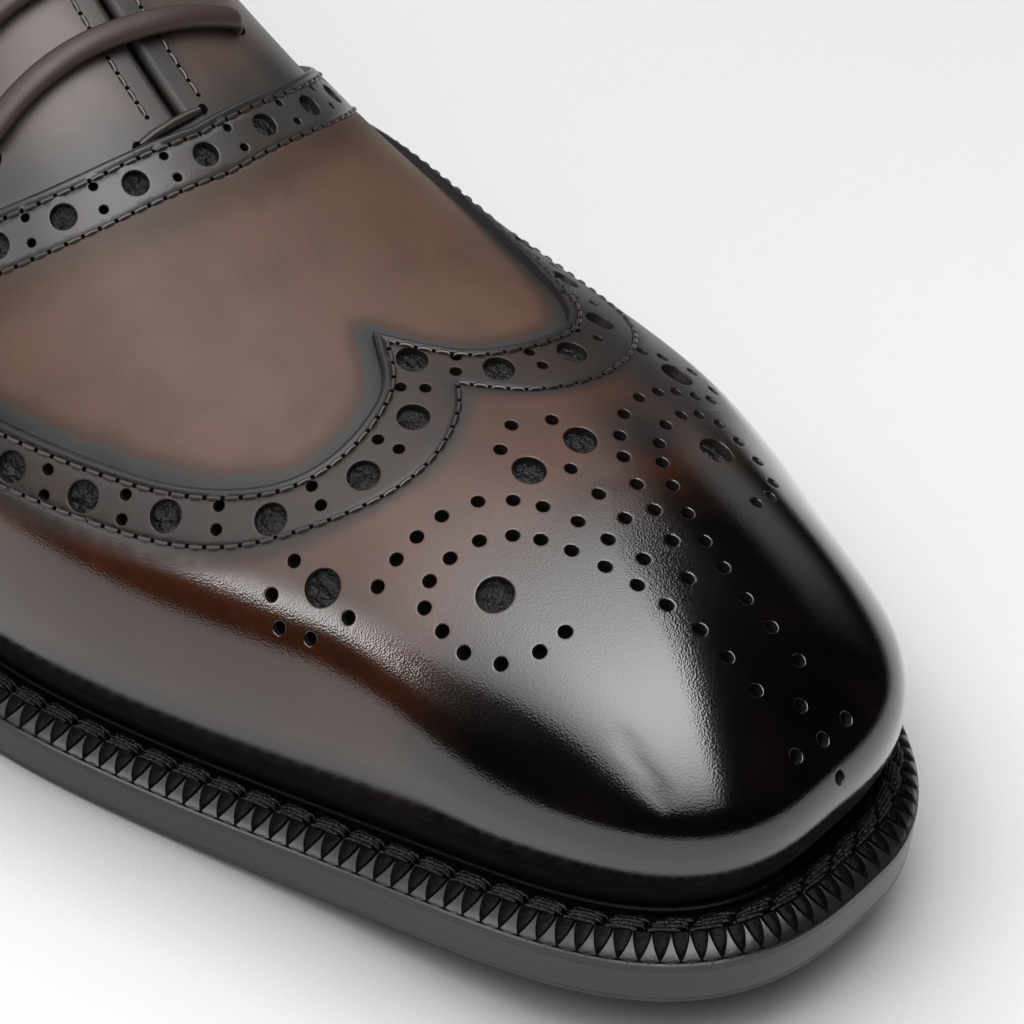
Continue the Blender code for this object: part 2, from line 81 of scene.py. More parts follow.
TOPLINE = (
    (0, 92, 92),
    (30, 86, 87),
    (60, 78, 80),
    (85, 81, 83),
    (105, 91, 92),
    (118, 101, 101),
    (126, 109, 109),
)
MARGIN_COLUMNS = ("x", "margin")
MARGINS = ((0, 3.0), (34, 3.2), (75, 3.4), (115, 3.8), (150, 5.5), (190, 7.0), (230, 7.5), (262, 7.8),
           (300, 8.2))
TOE_TRIM = 3.6
TOE_TRIM_ACROSS = (8.0, 30.0)
TOE_TRIM_ALONG = (235.0, 275.0)

# Heights of the leather's faces above the last's skin
WING_LIFT = 1.35
VAMP_LIFT = 0.0
QUARTER_LIFT = -1.35
LINING_LIFT = -3.55
TONGUE_LIFT = -4.3
TONGUE_THICKNESS = 1.8

# Slit and lace
SLIT_FRONT = 181.0
SLIT_BACK = 116.0
SLIT_HALF_GAP = 1.6
LACE_FIRST = 169.0
LACE_PITCH = 10.0
LACE_BARS = 5
LATERAL_EYELET = 26.5
MEDIAL_EYELET = 19.3

# Sole: heights from the feather line, offsets outward from it
WELT_TOP = -0.5
WELT_FLOOR = -3.2
SOLE_TOP = -3.5
SOLE_TREAD = -9.6
TOOTH_PITCH = 2.6
TOOTHED_MARGIN = (3.6, 5.2)
# A tooth across: place from its middle to its side, height
TOOTH_ACROSS = (
    (-1.0, 0.0), (-0.84, 0.75), (-0.45, 0.95), (0.0, 1.0), (0.45, 0.95), (0.84, 0.75), (1.0, 0.0),
)
TOOTH_HEIGHT = 0.5
# Welt from the upper outward: share of the margin, rise, tooth width, tooth height
WELT_INSIDE = ((0.02, -0.35), (0.05, 0.05), (0.085, 0.1), (0.12, -0.1), (0.15, -0.8), (0.46, -0.8))
WELT_TEETH = (
    (0.49, -0.60, 0.96, 0.6), (0.54, -0.60, 0.94, 1.0), (0.64, -0.80, 0.86, 1.0),
    (0.73, -1.10, 0.68, 1.0), (0.81, -1.45, 0.46, 0.95), (0.87, -1.85, 0.22, 0.8), (0.90, -2.10, 0.07, 0.4),
)
WELT_OUTSIDE = ((0.915, -2.3), (0.945, -2.5), (0.96, -3.46), (0.92, -3.49))
WELT_INNER = -4.0
# Welt thread: its place as a share of the margin, then each strand's distance aside, rise and phase
THREAD_SHARE = 0.37
THREAD_STRANDS = (
    (-0.85, 0.05, 0.42), (-0.45, 0.3, 0.53), (0.0, 0.42, 0.48), (0.45, 0.32, 0.56), (0.85, 0.1, 0.5),
)
THREAD_RADIUS = 0.36
THREAD_LENGTH = 1.72
HEEL_BREAST = 78.0
TOP_LIFT = 6.0

# Rear edge of the wing and the row that closes its band: x, girth from the wing's own axis
WING_EDGE = (
    (214.7, 0), (217.2, 1.8), (221.3, 5.1), (224.4, 10.7), (225.6, 16.4), (224.5, 22.4), (218.4, 29.1),
    (203.9, 36.4), (189.5, 42.6), (165.7, 55.9), (139, 95.8),
)
WING_ROW = (
    (227.3, 0), (230.2, 2.7), (233.4, 7.8), (234.9, 12.6), (234.7, 18.7), (232.2, 24.9), (223.6, 35.4),
    (208.2, 43.2), (194.1, 49.2), (174.4, 61.5), (157, 82), (151.5, 93.5),
)
WING_ROW_AXIS = -1.5
MEDIAL_LEAD = 0.9
MEDIAL_LEAD_RUN = (0.0, 6.0)
MEDIAL_LEAD_FADE = (70.0, 40.0)
MEDIAL_DRAW = 0.015
MEDIAL_DRAW_FROM = 15.0
MEDIAL_DRAW_LIMIT = 4.5
MEDIAL_DRAW_FORWARD = 0.65
WING_AXIS = -2.75
MEDALLION_AXIS = -1.1
WING_AXIS_FADE = (230.0, 244.0)
WING_AXIS_REACH = (45.0, 80.0)
VAMP_EDGE = ((181.9, 0), (181.3, 6.8), (179.3, 17.5), (174.9, 28), (163, 44.9), (142, 66.7), (116, 100.5))
VAMP_ROW_OFFSET = 6.7
VAMP_BAND_OFFSET = 3.75
VAMP_BAND_PITCH = 10.6
VAMP_BAND_SHIFT = 1.1
VAMP_BAND_END = 8.0

# Broguing, charted one by one: x, girth on either side of the axis, and a radius for the big holes
BIG_HOLES = ((253.2, 19.6, 2.3), (243.5, 4.4, 2.15), (236.5, 31.7, 2.3))
MIDDLE_HOLES = (236.8, 246.3, 251.3, 256, 267.1, 287.3, 291.8, 296.5)
SIDE_HOLES = (
    (239, 4.4), (252.8, 5.2), (248.6, 7), (245.7, 9.2), (243.1, 12.5), (241.6, 16.9), (241.4, 20.8),
    (241.5, 24.4), (241.9, 28.2), (241.2, 33), (238.4, 37.5), (234.4, 38.3), (231.6, 35.5), (231.6, 30.8),
    (255.3, 9), (251.9, 10.6), (249.3, 12.7), (247.1, 16.1), (246.2, 20.1), (246.3, 23.7), (247.9, 26.3),
    (251.3, 26.8), (254.9, 27), (259, 25.3), (261.4, 21.5), (262, 17.8),
    (257, 4.3), (259.5, 7.7), (261.8, 2.8), (263.9, 6.6), (268.2, 5.8), (273.1, 4.9), (277.7, 4.9),
    (282.8, 4.9), (291.3, 6.2),
)
SMALL_HOLE = 0.85
BAND_HOLES = ((221, 0), (228.4, 7.2), (230.7, 17.6), (225.8, 28.6), (214.6, 35.9), (204.4, 40.8),
              (194.4, 45), (184.6, 49.8), (175.6, 55.9), (168, 63.6), (160.0, 71.6))
BAND_HOLE = 2.05
BAND_SMALL_HOLE = 0.74
BAND_PAIR_SPREAD = 1.45
VAMP_HOLE = 1.75
VAMP_SMALL_HOLE = 0.6

# Soft form of the upper's wall, and hollows at the near corner of the toe: from, to, width, depth
FOOT_TUCK = 1.6
FOOT_TUCK_RUN = 15.0
SHOULDER_FILL = 1.0
SHOULDER_HEIGHT = (27.0, 11.0)
SHOULDER_WIDTH = (7.0, 5.0)
SHOULDER_RUN = (238.0, 272.0)
QUARTER_FORM_RUN = (50.0, 110.0)
HOLLOWS = (((275.0, -24.5), (283.0, -26.2), 0.8, 0.14),)
FORM_PROBE = 0.4

# Fineness
LATTICE = 1.35
EDGE_STEP = 0.7
EDGE_ROWS = (0.12, 0.28, 0.5, 0.85, 1.05, 1.25, 1.45, 1.7, 2.1)
ROW_OFFSETS = (-0.75, -0.4, -0.2, 0.0, 0.2, 0.4, 0.75)
HOLE_STEP = 0.42
FEWEST_HOLE_SIDES = 16
# Gaps between the mesh points of a panel: rows to outline and holes, lattice to outline, edge, row and holes
ROWS_TO_OUTLINE = 0.09
ROWS_TO_HOLES = 0.8
LATTICE_TO_OUTLINE = 0.6
LATTICE_TO_EDGE_ROWS = 0.5
LATTICE_TO_ROW = 1.2
LATTICE_TO_HOLES = 1.05
PROBE = 0.12
SECTION_PROBE = 0.004
# Punched rim: outset, drop, tilt in degrees
RIM = ((0.4, 0.0, 0), (0.16, 0.0, 3), (0.07, 0.02, 25), (0.015, 0.06, 55), (0.0, 0.13, 80))
HOLE_DEPTH = 1.15
OPEN_HOLE = 1.2

# Edges of a panel: lip, troughs of the stitch rows, overlap on the leather below, foot under the welt
LIP_DROP = 0.34
LIP_RUN = 0.42
EDGE_STITCHES = 1.25
EDGE_TROUGH = 0.2
ROW_TROUGH = 0.17
TROUGH_WIDTH = 0.3
SLOPE_PROBE = 0.02
EDGE_OVERLAP = 0.05
ON_FEATHER = 0.05
FOOT_TURN_DOWN = 1.3
FOOT_TURN_IN = 0.4

# A stitch from end to end: place, then rise and width as shares of the thread's radius
STITCH = (
    (-1.0, -1.6, 0.45), (-0.86, -0.25, 0.85), (-0.5, 0.45, 1.0), (0.0, 0.6, 1.0), (0.5, 0.45, 1.0),
    (0.86, -0.25, 0.85), (1.0, -1.6, 0.45),
)
THREAD_SIDES = 8
PRICK_PROBE = 0.1
PRICK_SQUASH = 0.9
PRICK_RISE = 0.05


def smooth(low, high, value):
    """Return a smooth step from 0 at low to 1 at high."""
    t = np.clip((value - low) / (high - low), 0, 1)
    return t * t * (3 - 2 * t)


def bell(value, width):
    """Return a bell curve of height 1."""
    return np.exp(-0.5 * (value / width) ** 2)


def natural_spline(knots, values):
    """Return the natural cubic spline through the knots as a function."""
    knots = np.asarray(knots, float)
    values = np.asarray(values, float)
    spans = np.diff(knots)
    size = len(knots)
    system = np.eye(size)
    target = np.zeros(size)
    slopes = np.diff(values) / spans
    for i in range(1, size - 1):
        system[i, i - 1:i + 2] = spans[i - 1], 2 * (spans[i - 1] + spans[i]), spans[i]
        target[i] = 6 * (slopes[i] - slopes[i - 1])
    bend = np.linalg.solve(system, target)

    def at(x):
        x = np.asarray(x, float)
        i = np.clip(np.searchsorted(knots, x) - 1, 0, size - 2)
        before = x - knots[i]
        after = knots[i + 1] - x
        span = spans[i]
        curve = (bend[i] * after**3 + bend[i + 1] * before**3) / (6 * span)
        line = (values[i] / span - bend[i] * span / 6) * after
        return curve + line + (values[i + 1] / span - bend[i + 1] * span / 6) * before

    return at


def table_splines(columns, rows):
    """Return one spline over x for each other column of a table."""
    table = np.asarray(rows, float)
    return {name: natural_spline(table[:, 0], table[:, i]) for i, name in enumerate(columns) if i}


SECTION = table_splines(SECTION_COLUMNS, SECTIONS)
TOPLINE_HEIGHT = table_splines(TOPLINE_COLUMNS, TOPLINE)
SOLE_MARGIN = table_splines(MARGIN_COLUMNS, MARGINS)["margin"]


def axis_y(x):
    """Return y of the last's middle line."""
    return (SECTION["medial"](x) - SECTION["lateral"](x)) / 2


def half_width(x):
    """Return half the last's width at the feather line."""
    return (SECTION["medial"](x) + SECTION["lateral"](x)) / 2


def plan_point(along, side, reach):
    """Return x and y for a reach of 0 on the axis to 1 at the edge, round the heel, sides and toe."""
    heel_angle = np.clip(along, 0, 1) * QUARTER_TURN
    toe_angle = np.clip(along - 2, 0, 1) * QUARTER_TURN
    heel_x = HEEL_ROUND * (1 - reach * np.cos(heel_angle) ** (2 / HEEL_SQUARENESS))
    toe_x = TOE_ROOT + TOE_LENGTH * reach * np.sin(toe_angle) ** (2 / TOE_SQUARENESS)
    waist_x = HEEL_ROUND + WAIST_LENGTH * (along - 1)
    x = np.where(along < 1, heel_x, np.where(along > 2, toe_x, waist_x))
    heel_share = np.sin(heel_angle) ** (2 / HEEL_SQUARENESS)
    toe_share = np.clip(np.cos(toe_angle), 0, 1) ** (2 / TOE_SQUARENESS)
    share = reach * np.where(along < 1, heel_share, np.where(along > 2, toe_share, 1.0))
    return x, axis_y(x) + side * share * half_width(x)


def last_point(along, across):
    """Return points of the last's skin, in millimetres."""
    along, across = np.broadcast_arrays(np.asarray(along, float), np.asarray(across, float))
    side = np.where(across < 0, -1.0, 1.0)
    level = np.clip(np.cos(across), 0, 1)
    outness = np.clip(np.abs(np.sin(across)), 0, 1)
    x, _ = plan_point(along, side, outness)
    fullness = SECTION["fullness"](np.clip(x, 0, LAST_LENGTH))
    reach = outness ** (2 / fullness)
    height = level ** (2 / fullness)
    x, _ = plan_point(along, side, reach)
    x = np.clip(x, 0, LAST_LENGTH)
    feather = SECTION["feather"](x)
    z = feather + (SECTION["crest"](x) - feather) * height
    swell = height / BULGE_HEIGHT * np.exp(1 - height / BULGE_HEIGHT)
    swell = swell * SECTION["bulge"](x) / BULGE_WIDTH * np.clip(reach / 0.02, 0, 1)
    x, y = plan_point(along, side, reach + swell)
    x = x + TOE_SKEW * (axis_y(x) - y) * smooth(LAST_LENGTH - TOE_SKEW_RUN, LAST_LENGTH, x)
    return np.stack([x, y, z], -1)


def along_at(x):
    """Return the along coordinate of a section between heel and toe."""
    return 1 + (x - HEEL_ROUND) / WAIST_LENGTH


TABLE_STATIONS = np.linspace(0, 3, 721)
TABLE_SHARES = np.linspace(0, 1, 241)


def girth_tables():
    """Return the whole girth of each station, and the across angle at each share of it, by side."""
    angles = QUARTER_TURN * np.linspace(0, 1, 600) ** 2
    wholes = []
    shares = []
    for side in (-1.0, 1.0):
        points = last_point(TABLE_STATIONS[:, None], side * angles[None, :])
        steps = np.linalg.norm(np.diff(points, axis=1), axis=2)
        lengths = np.concatenate([np.zeros((len(steps), 1)), np.cumsum(steps, axis=1)], axis=1)
        wholes.append(lengths[:, -1])
        shares.append([np.interp(TABLE_SHARES * row[-1], row, angles) for row in lengths])
    return np.array(wholes), np.array(shares)


WHOLE_GIRTH, SHARE_ANGLE = girth_tables()
TOE_HALF = float(half_width(TOE_ROOT))


def station_cell(along):
    """Return the table row before an along coordinate and the share of the way to the next."""
    last = len(TABLE_STATIONS) - 1
    row = np.clip(np.asarray(along, float) / 3 * last, 0, last - 0.001)
    index = row.astype(int)
    return index, row - index


def whole_girth(along, side):
    """Return the girth from crest to feather line."""
    i, f = station_cell(along)
    s = (np.asarray(side) > 0).astype(int)
    return WHOLE_GIRTH[s, i] * (1 - f) + WHOLE_GIRTH[s, i + 1] * f


def across_at(along, side, girth):
    """Return the across angle a girth below the crest."""
    i, f = station_cell(along)
    s = (np.asarray(side) > 0).astype(int)
    share = np.clip(np.abs(girth) / whole_girth(along, side), 0, 1) * (len(TABLE_SHARES) - 1)
    j = np.minimum(share.astype(int), len(TABLE_SHARES) - 2)
    g = share - j
    near = SHARE_ANGLE[s, i, j] * (1 - g) + SHARE_ANGLE[s, i, j + 1] * g
    far = SHARE_ANGLE[s, i + 1, j] * (1 - g) + SHARE_ANGLE[s, i + 1, j + 1] * g
    return side * (near * (1 - f) + far * f)


def flat_station(flat):
    """Return along, side and girth for flat points."""
    x = flat[..., 0]
    girth = flat[..., 1]
    side = np.where(girth < 0, -1.0, 1.0)
    ahead = np.maximum(x - TOE_ROOT, 0.0)
    bearing = np.arctan2(ahead, np.abs(girth))
    turn = np.arctan((TOE_HALF / TOE_LENGTH * np.tan(bearing)) ** (TOE_SQUARENESS / 2))
    along = np.where(x > TOE_ROOT, 2 + turn / QUARTER_TURN, along_at(x))
    return along, side, np.hypot(ahead, girth)


def skin(flat):
    """Return points of the last's skin for flat points."""
    along, side, girth = flat_station(np.asarray(flat, float))
    return last_point(along, across_at(along, side, girth))


def unit(vectors):
    """Return vectors of length 1."""
    return vectors / np.maximum(np.linalg.norm(vectors, axis=-1, keepdims=True), 1e-12)


def skin_frame(flat):
    """Return points, tangents by x and by girth, and normals of the skin for flat points."""
    flat = np.asarray(flat, float)
    steps = ((PROBE, 0), (0, PROBE))
    by_x, by_girth = ((skin(flat + step) - skin(flat - step)) / (2 * PROBE) for step in steps)
    return skin(flat), by_x, by_girth, unit(np.cross(by_x, by_girth))


def section_frame(along, across):
    """Return points and normals of the skin for along and across coordinates."""
    along, across = np.broadcast_arrays(np.asarray(along, float), np.asarray(across, float))
    ahead = np.minimum(along + SECTION_PROBE, 3)
    behind = np.maximum(along - SECTION_PROBE, 0)
    by_along = last_point(ahead, across) - last_point(behind, across)
    up = np.minimum(across + SECTION_PROBE, np.where(across < 0, 0, QUARTER_TURN))
    down = np.maximum(across - SECTION_PROBE, np.where(across < 0, -QUARTER_TURN, 0))
    by_across = last_point(along, up) - last_point(along, down)
    return last_point(along, across), unit(np.cross(by_along, by_across))


def feather_flat(side, first, last):
    """Return flat points of the feather line between two along coordinates."""
    along = np.linspace(first, last, max(2, int(abs(last - first) * 160)))
    girth = whole_girth(along, np.full(len(along), side))
    turn = np.clip(along - 2, 0, 1) * QUARTER_TURN
    power = 2 / TOE_SQUARENESS
    ahead = TOE_LENGTH * np.sin(turn) ** power
    bearing = np.arctan2(ahead, TOE_HALF * np.clip(np.cos(turn), 0, 1) ** power)
    toe = np.stack([TOE_ROOT + girth * np.sin(bearing), side * girth * np.cos(bearing)], -1)
    waist = np.stack([HEEL_ROUND + WAIST_LENGTH * (along - 1), side * girth], -1)
    return np.where((along > 2)[:, None], toe, waist)


def lengths_along(points):
    """Return the running length of a polyline."""
    steps = np.linalg.norm(np.diff(points, axis=0), axis=1)
    return np.concatenate([[0], np.cumsum(steps)])


def spots_along(at, lengths, line):
    """Return the points of a line, or of values that go with it, at some of its running lengths."""
    return np.stack([np.interp(at, lengths, line[:, i]) for i in range(line.shape[1])], -1)


def resample(points, step):
    """Return a polyline's points at an even step."""
    lengths = lengths_along(points)
    even = np.linspace(0, lengths[-1], max(2, int(round(lengths[-1] / step)) + 1))
    return spots_along(even, lengths, points)


def joined(places, counts):
    """Return even stations from place to place, each stretch with its own count."""
    stretches = [np.linspace(*ends, count) for *ends, count in zip(places, places[1:], counts)]
    return np.concatenate(stretches[:1] + [stretch[1:] for stretch in stretches[1:]])


def full_turn(sides):
    """Return even angles round a circle."""
    return np.arange(sides) * 2 * math.pi / sides


def fan(first, second, turns):
    """Return the vectors at each turn from a first direction toward a second one."""
    return first[..., None, :] * np.cos(turns)[:, None] + second[..., None, :] * np.sin(turns)[:, None]


def ahead_of(line):
    """Return the flat unit directions to the front side of a polyline."""
    run = np.gradient(line, axis=0)
    return unit(np.stack([run[:, 1], -run[:, 0]], -1))


def wing_axis(flat, axis):
    """Return how far the wing's own axis lies from the crest."""
    axis = axis + (MEDALLION_AXIS - axis) * smooth(*WING_AXIS_FADE, flat[..., 0])
    return axis * (1 - smooth(*WING_AXIS_REACH, np.abs(flat[..., 1])))


def shifted(flat, axis=WING_AXIS):
    """Return flat points moved onto the wing's own axis."""
    flat = np.asarray(flat, float)
    return np.stack([flat[..., 0], flat[..., 1] + wing_axis(flat, axis)], -1)


def drawn_in(flat):
    """Return flat points with the medial ones drawn in where the cap turns down."""
    draw = MEDIAL_DRAW * np.maximum(flat[:, 1] - MEDIAL_DRAW_FROM, 0) ** 2
    draw = np.minimum(draw, MEDIAL_DRAW_LIMIT)
    return flat + np.stack([MEDIAL_DRAW_FORWARD * draw, -draw], -1)


def medial_lead(flat):
    """Return a flat curve whose medial half lies a little further forward."""
    lead = MEDIAL_LEAD * smooth(*MEDIAL_LEAD_RUN, flat[:, 1]) * smooth(*MEDIAL_LEAD_FADE, flat[:, 1])
    return flat + np.stack([lead, 0 * lead], -1)


def mirrored_curve(rows, step):
    """Return a smooth flat curve from the lateral feather line over the crest to the medial one."""
    table = np.asarray(rows, float)
    knots = lengths_along(table)
    fine = np.linspace(0, knots[-1], 400)
    half = np.stack([natural_spline(knots, table[:, i])(fine) for i in range(2)], -1)
    half[0, 1] = 0.0
    limit = whole_girth(along_at(half[:, 0]), np.ones(len(half)))
    half[:, 1] = np.minimum(half[:, 1], limit)
    half[-1, 1] = limit[-1]
    medial = resample(half, step)
    lateral = medial[:0:-1] * (1, -1)
    return np.concatenate([lateral, medial])


def polyline_gap(flat, line):
    """Return distances to a polyline and the flat unit directions away from it."""
    starts = line[:-1]
    runs = np.diff(line, axis=0)
    squares = (runs ** 2).sum(-1)
    distances = []
    directions = []
    for chunk in np.array_split(flat, max(1, len(flat) * len(runs) // 3000000 + 1)):
        offset = chunk[:, None] - starts[None]
        t = np.clip((offset * runs).sum(-1) / squares, 0, 1)
        gap = offset - t[..., None] * runs
        square = (gap ** 2).sum(-1)
        nearest = square.argmin(1)
        picked = np.arange(len(chunk))
        distances.append(np.sqrt(square[picked, nearest]))
        directions.append(unit(gap[picked, nearest]))
    return np.concatenate(distances), np.concatenate(directions)


def offset_line(line, distance):
    """Return a polyline moved to its front side, without the points that fold over."""
    moved = line + ahead_of(line) * distance
    gap, _ = polyline_gap(moved, line)
    return moved[gap > abs(distance) - 0.04]


def inside_outline(flat, outline):
    """Tell which flat points lie inside a closed outline."""
    x, y = flat.T
    inside = np.zeros(len(flat), bool)
    for (x0, y0), (x1, y1) in zip(outline, np.roll(outline, -1, axis=0)):
        if y0 != y1:
            crosses = ((y0 > y) != (y1 > y)) & (x < x0 + (y - y0) * (x1 - x0) / (y1 - y0))
            inside ^= crosses
    return inside


def hex_lattice(outline, step):
    """Return a hexagonal lattice over an outline's box."""
    low = outline.min(axis=0)
    high = outline.max(axis=0)
    rows = []
    for k, y in enumerate(np.arange(low[1], high[1], step * math.sqrt(3) / 2)):
        x = np.arange(low[0] + (k % 2) * step / 2, high[0], step)
        rows.append(np.stack([x, np.full(len(x), y)], -1))
    return np.concatenate(rows)


def sole_margin(x, y):
    """Return how far the sole stands out from the feather line, less at the toe's medial corner."""
    return SOLE_MARGIN(x) - TOE_TRIM * smooth(*TOE_TRIM_ACROSS, y) * smooth(*TOE_TRIM_ALONG, x)


def object_origin():
    """Return the point below the middle of the sole's box, which is the origin of the frame."""
    loop = feather_loop(np.linspace(0, 3, 301), lambda x, y: SOLE_MARGIN(x))
    low = loop.min(axis=0)
    high = loop.max(axis=0)
    return np.array([(low[0] + high[0]) / 2, (low[1] + high[1]) / 2, 0.0])


def feather_loop(stations, offset):
    """Return the closed loop of the feather line, offset outward in plan by a function of x and y."""
    lateral = last_point(stations, np.full(len(stations), -QUARTER_TURN))
    medial = last_point(stations[::-1], np.full(len(stations), QUARTER_TURN))
    loop = np.concatenate([lateral, medial[1:-1]])
    run = np.roll(loop, -1, axis=0) - np.roll(loop, 1, axis=0)
    outward = unit(np.stack([run[:, 1], -run[:, 0]], -1))
    moved = loop.copy()
    moved[:, :2] += outward * offset(loop[:, 0], loop[:, 1])[:, None]
    return moved


ORIGIN = object_origin()


def turned(points, faces, normals):
    """Return faces flipped where they face away from their points' normals."""
    corner = points[faces[:, 0]]
    facing = np.cross(points[faces[:, 1]] - corner, points[faces[:, 2]] - corner)
    against = (facing * normals[faces].sum(axis=1)).sum(-1) < 0
    faces = faces.copy()
    faces[against] = faces[against][:, ::-1]
    return faces


def grid_faces(columns, rows):
    """Return the quads of a grid whose points run column by column."""
    corner = (np.arange(columns - 1)[:, None] * rows + np.arange(rows - 1)[None, :]).ravel()
    return np.stack([corner, corner + rows, corner + rows + 1, corner + 1], -1)


def loop_faces(loops, count):
    """Return the quads between closed loops of equal count."""
    start = np.arange(loops - 1)[:, None] * count
    k = np.arange(count)
    after = (k + 1) % count
    corners = [start + k, start + after, start + count + after, start + count + k]
    return np.stack(corners, -1).reshape(-1, 4)


def cap_faces(count):
    """Return quads across a closed loop that is symmetric about its first point."""
    i = np.arange(1, count // 2 - 1)
    return np.stack([i, i + 1, count - i - 1, count - i], -1)


class MeshParts:
    """Points, faces, normals, darkness and polish gathered for one piece."""

    def __init__(self):
        self.points = []
        self.normals = []
        self.darkness = []
        self.polish = []
        self.faces = []
        self.slots = []
        self.count = 0

    def add(self, points, faces, slot=0, normals=None, darkness=0.0, polish=0.0):
        """Add points, and faces that count from them; where normals are given, faces turn to them."""
        points = np.asarray(points, float).reshape(-1, 3)
        faces = np.asarray(faces)
        if normals is None:
            normals = np.zeros_like(points)
        else:
            normals = normals.reshape(-1, 3)
            faces = turned(points, faces, normals)
        self.points.append(points)
        self.normals.append(normals)
        self.darkness.append(np.broadcast_to(np.asarray(darkness, float), len(points)))
        self.polish.append(np.broadcast_to(np.asarray(polish, float), len(points)))
        self.faces.extend((faces + self.count).tolist())
        self.slots.extend(np.broadcast_to(slot, len(faces)).tolist())
        self.count += len(points)

    def add_strip(self, top, bottom, normals, slot, darkness, closed=False):
        """Add the quads between two lines of points that share their normals."""
        size = len(top)
        k = np.arange(size if closed else size - 1)
        after = (k + 1) % size
        quads = np.stack([k, after, after + size, k + size], -1)
        self.add(np.concatenate([top, bottom]), quads, slot, np.concatenate([normals, normals]), darkness)

    def add_stack(self, loops, bottom_slot=0):
        """Add a closed form from loops that run from its top down to its bottom."""
        count = len(loops[0])
        self.add(np.concatenate(loops), loop_faces(len(loops), count)[:, ::-1])
        self.add(loops[0], cap_faces(count))
        self.add(loops[-1], cap_faces(count)[:, ::-1], bottom_slot)

    def build(self, name, materials, nodes, slot, sharp=None):
        """Make the object: it rides on the shoe and stands for its solids."""
        points = (np.concatenate(self.points) - ORIGIN) * MM
        mesh = bpy.data.meshes.new(name)
        mesh.from_pydata(points.tolist(), [], self.faces)
        for material in materials:
            mesh.materials.append(material)
        mesh.polygons.foreach_set("material_index", self.slots)
        mesh.shade_smooth()
        for field, values in (("darkness", self.darkness), ("polish", self.polish)):
            attribute = mesh.attributes.new(field, "FLOAT", "POINT")
            attribute.data.foreach_set("value", np.concatenate(values).astype(np.float32))
        normals = np.concatenate(self.normals)
        if sharp is not None:
            mesh.set_sharp_from_angle(angle=math.radians(sharp))
        elif np.abs(normals).sum():
            mesh.normals_split_custom_set_from_vertices(normals.tolist())
        mesh.update()
        obj = bpy.data.objects.new(name, mesh)
        bpy.context.scene.collection.objects.link(obj)
        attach(obj, "root")
        if nodes:
            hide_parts(*nodes)


# Leather panels

def to_feather(flat):
    """Return the girth from flat points down to the feather line."""
    along, side, girth = flat_station(flat)
    return whole_girth(along, side) - girth


def wall_form(x, gap):
    """Return the wall's lift by x and girth to the feather line: foot tucked in, shoulder filled out."""
    to_toe = smooth(*SHOULDER_RUN, x)
    height = SHOULDER_HEIGHT[0] + (SHOULDER_HEIGHT[1] - SHOULDER_HEIGHT[0]) * to_toe
    width = SHOULDER_WIDTH[0] + (SHOULDER_WIDTH[1] - SHOULDER_WIDTH[0]) * to_toe
    return SHOULDER_FILL * bell(gap - height, width) - FOOT_TUCK * (1 - smooth(0, FOOT_TUCK_RUN, gap))


def form_lift(flat):
    """Return the soft form of wing and vamp on top of the last: the wall's, and hollows at the toe."""
    rise = wall_form(flat[:, 0], to_feather(flat))
    for start, end, width, deep in HOLLOWS:
        away, _ = polyline_gap(flat, np.array([start, end], float))
        rise -= deep * bell(away, width)
    return rise


def edge_profile(distance):
    """Return the lift of a panel near its cut edge: a rounded lip and a sunk stitch row."""
    lip = -LIP_DROP * np.clip(1 - distance / LIP_RUN, 0, 1) ** 2
    return lip - EDGE_TROUGH * bell(distance - EDGE_STITCHES, TROUGH_WIDTH)


def row_profile(distance):
    """Return the lift of a panel near an inner stitch row."""
    return -ROW_TROUGH * bell(distance, TROUGH_WIDTH)


def slope(profile, distance):
    """Return the slope of a profile."""
    return (profile(distance + SLOPE_PROBE) - profile(distance - SLOPE_PROBE)) / (2 * SLOPE_PROBE)


def hole_rings(holes):
    """Return flat points, drops, tilts, owners, middles and edges of the rings round punched holes."""
    outsets, falls, leans = np.array(RIM, float).T
    columns = [[], [], [], [], []]
    edges = []
    count = 0
    centres = np.array([hole[:2] for hole in holes], float)
    _, by_x, by_girth, _ = skin_frame(centres)
    for number, (x, girth, radius) in enumerate(holes):
        tangents = np.stack([by_x[number], by_girth[number]], -1)
        values, vectors = np.linalg.eigh(tangents.T @ tangents)
        to_flat = vectors @ np.diag(values ** -0.5) @ vectors.T
        size = max(FEWEST_HOLE_SIDES, int(2 * math.pi * radius / HOLE_STEP))
        circle = fan(to_flat[0], to_flat[1], full_turn(size))
        rings = (x, girth) + circle * (radius + outsets)[:, None, None]
        owner = np.where(outsets == outsets[-1], number, -1)
        middles = np.broadcast_to(centres[number], (len(RIM) * size, 2))
        by_ring = (falls.repeat(size), np.radians(leans).repeat(size), owner.repeat(size))
        for column, rows in zip(columns, (rings.reshape(-1, 2), *by_ring, middles)):
            column.append(rows)
        for ring in (0, len(RIM) - 1):
            members = count + ring * size + np.arange(size)
            edges.extend(zip(members.tolist(), np.roll(members, -1).tolist()))
        count += len(RIM) * size
    return [np.concatenate(column) for column in columns] + [edges]


def clear_points(flat, outline, gaps, holes, hole_gap):
    """Return the flat points inside an outline that keep their gaps to polylines and punched holes."""
    flat = flat[inside_outline(flat, outline)]
    for line, gap in gaps:
        distance, _ = polyline_gap(flat, line)
        flat = flat[distance > gap]
    for x, girth, radius in holes:
        flat = flat[np.hypot(flat[:, 0] - x, flat[:, 1] - girth) > radius + hole_gap]
    return flat


